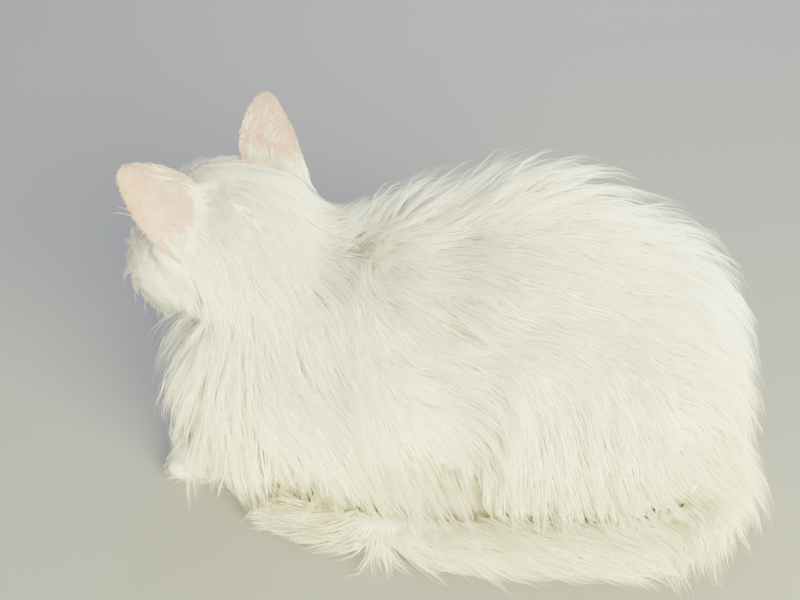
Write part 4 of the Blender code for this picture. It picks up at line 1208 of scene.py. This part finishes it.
# An ear, in the head's frame: the inner and outer ends of its root, its tip, its bow, and for its hair
# about how high and half as wide it is
earSet = {"inner": (-0.0243, 0.0199, 0.0369), "outer": (-0.0305, 0.0542, 0.0078),
          "tip": (-0.0193, 0.0573, 0.0570), "high": 0.041, "halfWide": 0.022,
          "cup": 0.0115, "wall": 0.0014, "root": -0.20, "top": 0.985, "narrows": 1.65, "rounds": 0.72,
          "along": 34, "across": 26}


def earPoint(along, across, side, out=0.0):
    # A point of the ear's middle sheet, moved out to its back by that much
    inner, outer, tip = (Vector(earSet[key]) for key in ("inner", "outer", "tip"))
    middle, half = (inner + outer) / 2, (outer - inner) / 2
    back = half.cross(tip - middle).normalized()
    if back.x > 0:
        back.negate()
    risen = min(max(along, 0.0), 1.0)
    narrow = (1 - risen ** earSet["narrows"]) ** earSet["rounds"]
    bow = earSet["cup"] * (1 - risen) ** 0.8 * (1 - across * across)
    at = middle + (tip - middle) * along + half * across * narrow + back * (bow + out)
    return head @ mirrored(at, side)


def makeEar(side):
    name = "ear_left" if side > 0 else "ear_right"
    bm = bmesh.new()
    flat = bm.loops.layers.uv.new("OFBake")
    acrossAll = np.sin(np.linspace(-1, 1, earSet["across"]) * math.pi / 2)
    alongAll = np.linspace(earSet["root"], earSet["top"], earSet["along"])
    rows = []
    for along in alongAll:
        row = []
        for sheet in (1, -1):
            for across in acrossAll[::sheet]:
                wall = earSet["wall"] * 0.5 * math.sqrt(max(1 - across ** 6, 0.02))
                wall *= 1.15 - 0.5 * max(along, 0)
                row.append(bm.verts.new(earPoint(along, across, side, wall * sheet)))
        rows.append(row)
    count = len(rows[0])
    where = {vert: ((place + 0.5) / count, (index + 0.5) / len(rows))
             for index, row in enumerate(rows) for place, vert in enumerate(row)}
    for row, after in zip(rows, rows[1:]):
        for place in range(count):
            bm.faces.new((row[place], row[(place + 1) % count], after[(place + 1) % count], after[place]))
    half = len(acrossAll)
    for row in (rows[0], rows[-1]):
        for place in range(half - 1):
            bm.faces.new((row[place], row[place + 1], row[count - 2 - place], row[count - 1 - place]))
    bmesh.ops.recalc_face_normals(bm, faces=bm.faces)
    for face in bm.faces:
        face.smooth = True
        for loop in face.loops:
            loop[flat].uv = where[loop.vert]
    piece = addObject(name.replace("ear_", "earCup"), meshOf(name, bm))
    dressIn(piece, earFinish)
    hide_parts(name)
    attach(piece, "root")


# Hair on the ears: long at the root, short and thin on the back, a fringe at the edges, wisps inside
earHair = {
    "base": {"count": 130, "length": 0.0160, "strands": 8, "spread": 0.0022, "depth": 0.0008,
             "width": 0.00020, "gather": 0.50, "curl": 0.0016, "shortest": 0.5, "steps": 4},
    "back": {"count": 420, "length": 0.0034, "strands": 4, "spread": 0.0012, "depth": 0.0001,
             "width": 0.00009, "gather": 0.40, "curl": 0.0002, "shortest": 0.5, "steps": 3},
    "edge": {"count": 150, "length": 0.0017, "strands": 4, "spread": 0.0008, "depth": 0.0002,
             "width": 0.00008, "gather": 0.30, "curl": 0.0003, "shortest": 0.5, "steps": 3},
    "inside": {"count": 150, "length": 0.021, "strands": 6, "spread": 0.0018, "depth": 0.0010,
               "width": 0.00013, "gather": 0.35, "curl": 0.0034, "shortest": 0.5, "steps": 5},
}


def earGuides(kind, side, rng):
    plan = earHair[kind]
    inner, outer, tip = (head @ mirrored(earSet[key], side) for key in ("inner", "outer", "tip"))
    rise = (tip - (inner + outer) / 2).normalized()
    guides = []
    for _ in range(plan["count"]):
        length = plan["length"] * rng.uniform(0.75, 1.2)
        if kind == "base":
            along, across, sheet, lift = rng.uniform(-0.16, 0.30), rng.uniform(-0.85, 0.85), 1, 0.0
            turn = math.pi - across * rng.uniform(0.2, 0.6)
        elif kind == "back":
            along, across = 1.08 * rng.random() ** 1.7 - 0.14, rng.uniform(-0.97, 0.97)
            turn, lift, sheet = 0.25 * across + rng.uniform(-0.15, 0.15), rng.uniform(0.0001, 0.0004), 1
            length *= 0.7 + 1.5 * (1 - max(along, 0)) ** 3
            lift *= 1 + 3.0 * (1 - max(along, 0)) ** 3
        elif kind == "edge":
            along, across = rng.uniform(-0.05, 0.97), rng.choice((-1, 1))
            turn, lift, sheet = rng.uniform(0.10, 0.35) * across, rng.uniform(-0.0003, 0.0003), 1
            length *= 1.6 - 0.9 * max(along, 0)
        else:
            along, across = rng.uniform(-0.12, 0.50), 0.5 * rng.random() ** 1.5 - 0.98
            turn, lift, sheet = rng.uniform(0.20, 0.95), rng.uniform(0.002, 0.008), -1
            length *= 1.05 - 0.9 * max(along, 0)
        start = earPoint(along, across, side)
        aside = earPoint(along, min(across + 0.05, 1.0), side) - earPoint(along, min(across, 0.95), side)
        aside.normalize()
        out = rise.cross(aside).normalized()
        if out.dot(earPoint(along, across, side, 0.001) - start) < 0:
            out.negate()
        way = rise * math.cos(turn) + aside * math.sin(turn)
        line = []
        for share in np.linspace(0, 1, plan["steps"]):
            if kind == "back":
                ahead = along + math.cos(turn) * length * share / earSet["high"]
                beside = across + math.sin(turn) * length * share / earSet["halfWide"]
                at = earPoint(ahead, beside, side, earSet["wall"] / 2 + lift * share)
            elif kind == "base":
                # From the ear's root down over the head, close over the head's own coat
                at = start + (way + out * 0.25) * length * share
                near, facing, _, _ = outerGround.tree.find_nearest(at)
                high = (at - near).dot(facing)
                if high < 0.0008 or share > 0.3:
                    at = near + facing * min(max(high, 0.0008), 0.0100 - 0.0080 * share)
            else:
                at = start + way * length * share + out * sheet * lift * share * (1.6 - 0.6 * share)
            line.append(at)
        place = (across + 1) / 4 if sheet > 0 else 1 - (across + 1) / 4
        flat = (place, (along - earSet["root"]) / (earSet["top"] - earSet["root"]))
        guides.append((line, [out.cross(way).normalized()] * plan["steps"], [out] * plan["steps"], flat,
                       rng.uniform(0.8, 1.2)))
    return guides


# Whiskers and the long hairs over the eyes, in the head's frame: root, way, length, and their sag
whiskerSet = {"strands": 1, "spread": 0.0, "depth": 0.0, "gather": 0.0, "curl": 0.0, "width": 0.00026,
              "shortest": 1.0, "steps": 9, "flatness": 1.0}
whiskerRows = [(0.0500, 0.0125, -0.0125), (0.0490, 0.0135, -0.0148), (0.0475, 0.0140, -0.0172)]


def whiskerGuides(rng):
    guides = []
    for side in (1, -1):
        starts = [(Vector(row) - Vector((0.0034 * place, -0.0004 * place, 0)),
                   Vector((-0.38 - 0.10 * place, 0.9, 0.16 - 0.20 * high)), 0.034 + 0.003 * place, -0.010)
                  for high, row in enumerate(whiskerRows) for place in range(4)]
        starts += [(Vector((0.0315 - 0.003 * place, 0.0170 + 0.003 * place, 0.0145)),
                    Vector((0.10, 0.35 + 0.2 * place, 1.0)), 0.020 + 0.002 * place, -0.006)
                   for place in range(4)]
        for start, way, length, sag in starts:
            length *= rng.uniform(0.85, 1.1)
            way = (mirrored(way, side) + Vector(rng.uniform(-0.08, 0.08, 3))).normalized()
            root, _, _, _ = skinGround.tree.find_nearest(head @ mirrored(start, side))
            way = (head.to_3x3() @ way).normalized()
            back = head.to_3x3() @ Vector((-1, 0, 0.0))
            bend = back * 0.30 * length + Vector((0, 0, sag))
            line = [root + way * (length * share - 0.001) + bend * share ** 2
                    for share in np.linspace(0, 1, whiskerSet["steps"])]
            out = way.orthogonal().normalized()
            count = whiskerSet["steps"]
            guides.append((line, [out.cross(way)] * count, [out] * count, skinGround.flatAt(root), 1.0))
    return guides


tuftTree = makeTuftTree()
furFinish = furMaterial()
earFurFinish, _, _ = finishOf("shortEarHair", "#C9B4A2", 0.6)  # thin white hair, warm from the skin below
earFinish = earMaterial()
eyeFinish = eyeMaterial()
dressIn(skin, skinMaterial())
print("eyes, nose and ears")
makeNose()
for side in (1, -1):
    makeEye(side)
    makeEar(side)

rng = np.random.default_rng(7)
coat = []


def addCoat(label, guides, plan, finish):
    # Tufts of one kind, in pieces small enough to export
    each = plan["strands"] * ((plan["steps"] - 1) * 6 + 2)
    pieces = max(1, math.ceil(len(guides) * each / sweepSet["most"]))
    guides.sort(key=lambda guide: guide[0][0].x)
    for part in range(pieces):
        some = guides[part * len(guides) // pieces:(part + 1) * len(guides) // pieces]
        name = label + ("" if pieces == 1 else str(part + 1))
        coat.append(sweepTufts(name, some, plan, finish, len(coat) + 1))
        print(name, len(some), "tufts", trianglesIn(coat[-1]), "triangles")


print("coat")
for name, guides in makeGuides(coatSet, rng).items():
    addCoat(name + "Coat", guides, coatSet[name], furFinish)
underPlans = {name: underPlan(coatSet[name]) for name in underSet["parts"]}
underPlans["head"]["room"] *= 1.5
for name, guides in makeGuides(underPlans, rng).items():
    addCoat(name + "Undercoat", guides, underPlans[name], furFinish)
for side, label in ((1, "Left"), (-1, "Right")):
    for kind, plan in earHair.items():
        finish = earFurFinish if kind in ("back", "edge") else furFinish
        addCoat("ear" + label + kind.title() + "Hair", earGuides(kind, side, rng), plan, finish)
addCoat("whiskers", whiskerGuides(rng), whiskerSet, furFinish)
print("whole coat", sum(trianglesIn(piece) for piece in coat), "triangles")


def addLight(name, size, power, colour, at, towards):
    light = bpy.data.lights.new(name, "AREA")
    light.size = size
    light.energy = power
    light.color = linear(colour)[:3]
    lamp = bpy.data.objects.new(name, light)
    lamp.location = at
    lamp.rotation_mode = "QUATERNION"
    lamp.rotation_quaternion = (Vector(towards) - Vector(at)).to_track_quat("-Z", "Y")
    bpy.context.scene.collection.objects.link(lamp)


def makeFloor():
    bm = bmesh.new()
    bmesh.ops.create_grid(bm, x_segments=8, y_segments=8, size=4.0)
    floor = addObject("floor", meshOf("floor", bm))
    finish = bpy.data.materials.new("paleStudioFloor")
    finish.use_nodes = True
    shader = finish.node_tree.nodes["Principled BSDF"]
    shader.inputs["Base Color"].default_value = linear("#8C8D90")
    shader.inputs["Roughness"].default_value = 0.9
    dressIn(floor, finish)


cameraSet = {"azimuth": 5, "elevation": 36, "focal": 1150, "distance": 0.70, "target": (0, 0, 0.0875),
             "seenAt": (455, 350)}


def makeCamera():
    # The photo is 800 by 600; the target is seen at seenAt in it
    wide, high = 800, 600
    azimuth, elevation = math.radians(cameraSet["azimuth"]), math.radians(cameraSet["elevation"])
    back = Vector((math.sin(azimuth) * math.cos(elevation), -math.cos(azimuth) * math.cos(elevation),
                   math.sin(elevation)))
    camera = bpy.data.objects.new("camera", bpy.data.cameras.new("camera"))
    camera.data.sensor_width = 36
    camera.data.lens = cameraSet["focal"] / wide * 36
    camera.data.shift_x = (wide / 2 - cameraSet["seenAt"][0]) / wide
    camera.data.shift_y = (cameraSet["seenAt"][1] - high / 2) / wide
    camera.location = Vector(cameraSet["target"]) + back * cameraSet["distance"]
    camera.rotation_mode = "QUATERNION"
    camera.rotation_quaternion = (-back).to_track_quat("-Z", "Y")
    bpy.context.scene.collection.objects.link(camera)
    bpy.context.scene.camera = camera


print("stage")
makeFloor()
makeCamera()
addLight("key", 0.9, 150, "#FDFFBA", (0.74, -1.12, 0.46), (0.02, 0, 0.08))
addLight("fill", 1.6, 7, "#D4DCFF", (-1.3, -0.5, 0.8), (0, 0, 0.1))
addLight("back", 1.4, 26, "#F0F2FF", (0.1, 1.2, 1.1), (0, 0, 0.1))
world = bpy.data.worlds.new("studio")
bpy.context.scene.world = world
world.use_nodes = True
world.node_tree.nodes["Background"].inputs["Color"].default_value = linear("#E4E8EA")
world.node_tree.nodes["Background"].inputs["Strength"].default_value = 0.85

fleshNodes = ["head", "neck", "torso", "tail_base", "tail_middle", "tail_tip"]
fleshNodes += [kind + side for kind in ("foreleg_", "hindleg_", "forepaw_", "hindpaw_")
               for side in ("left", "right")]
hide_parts(*fleshNodes)
for piece in (skin, *coat):
    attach(piece, "root")
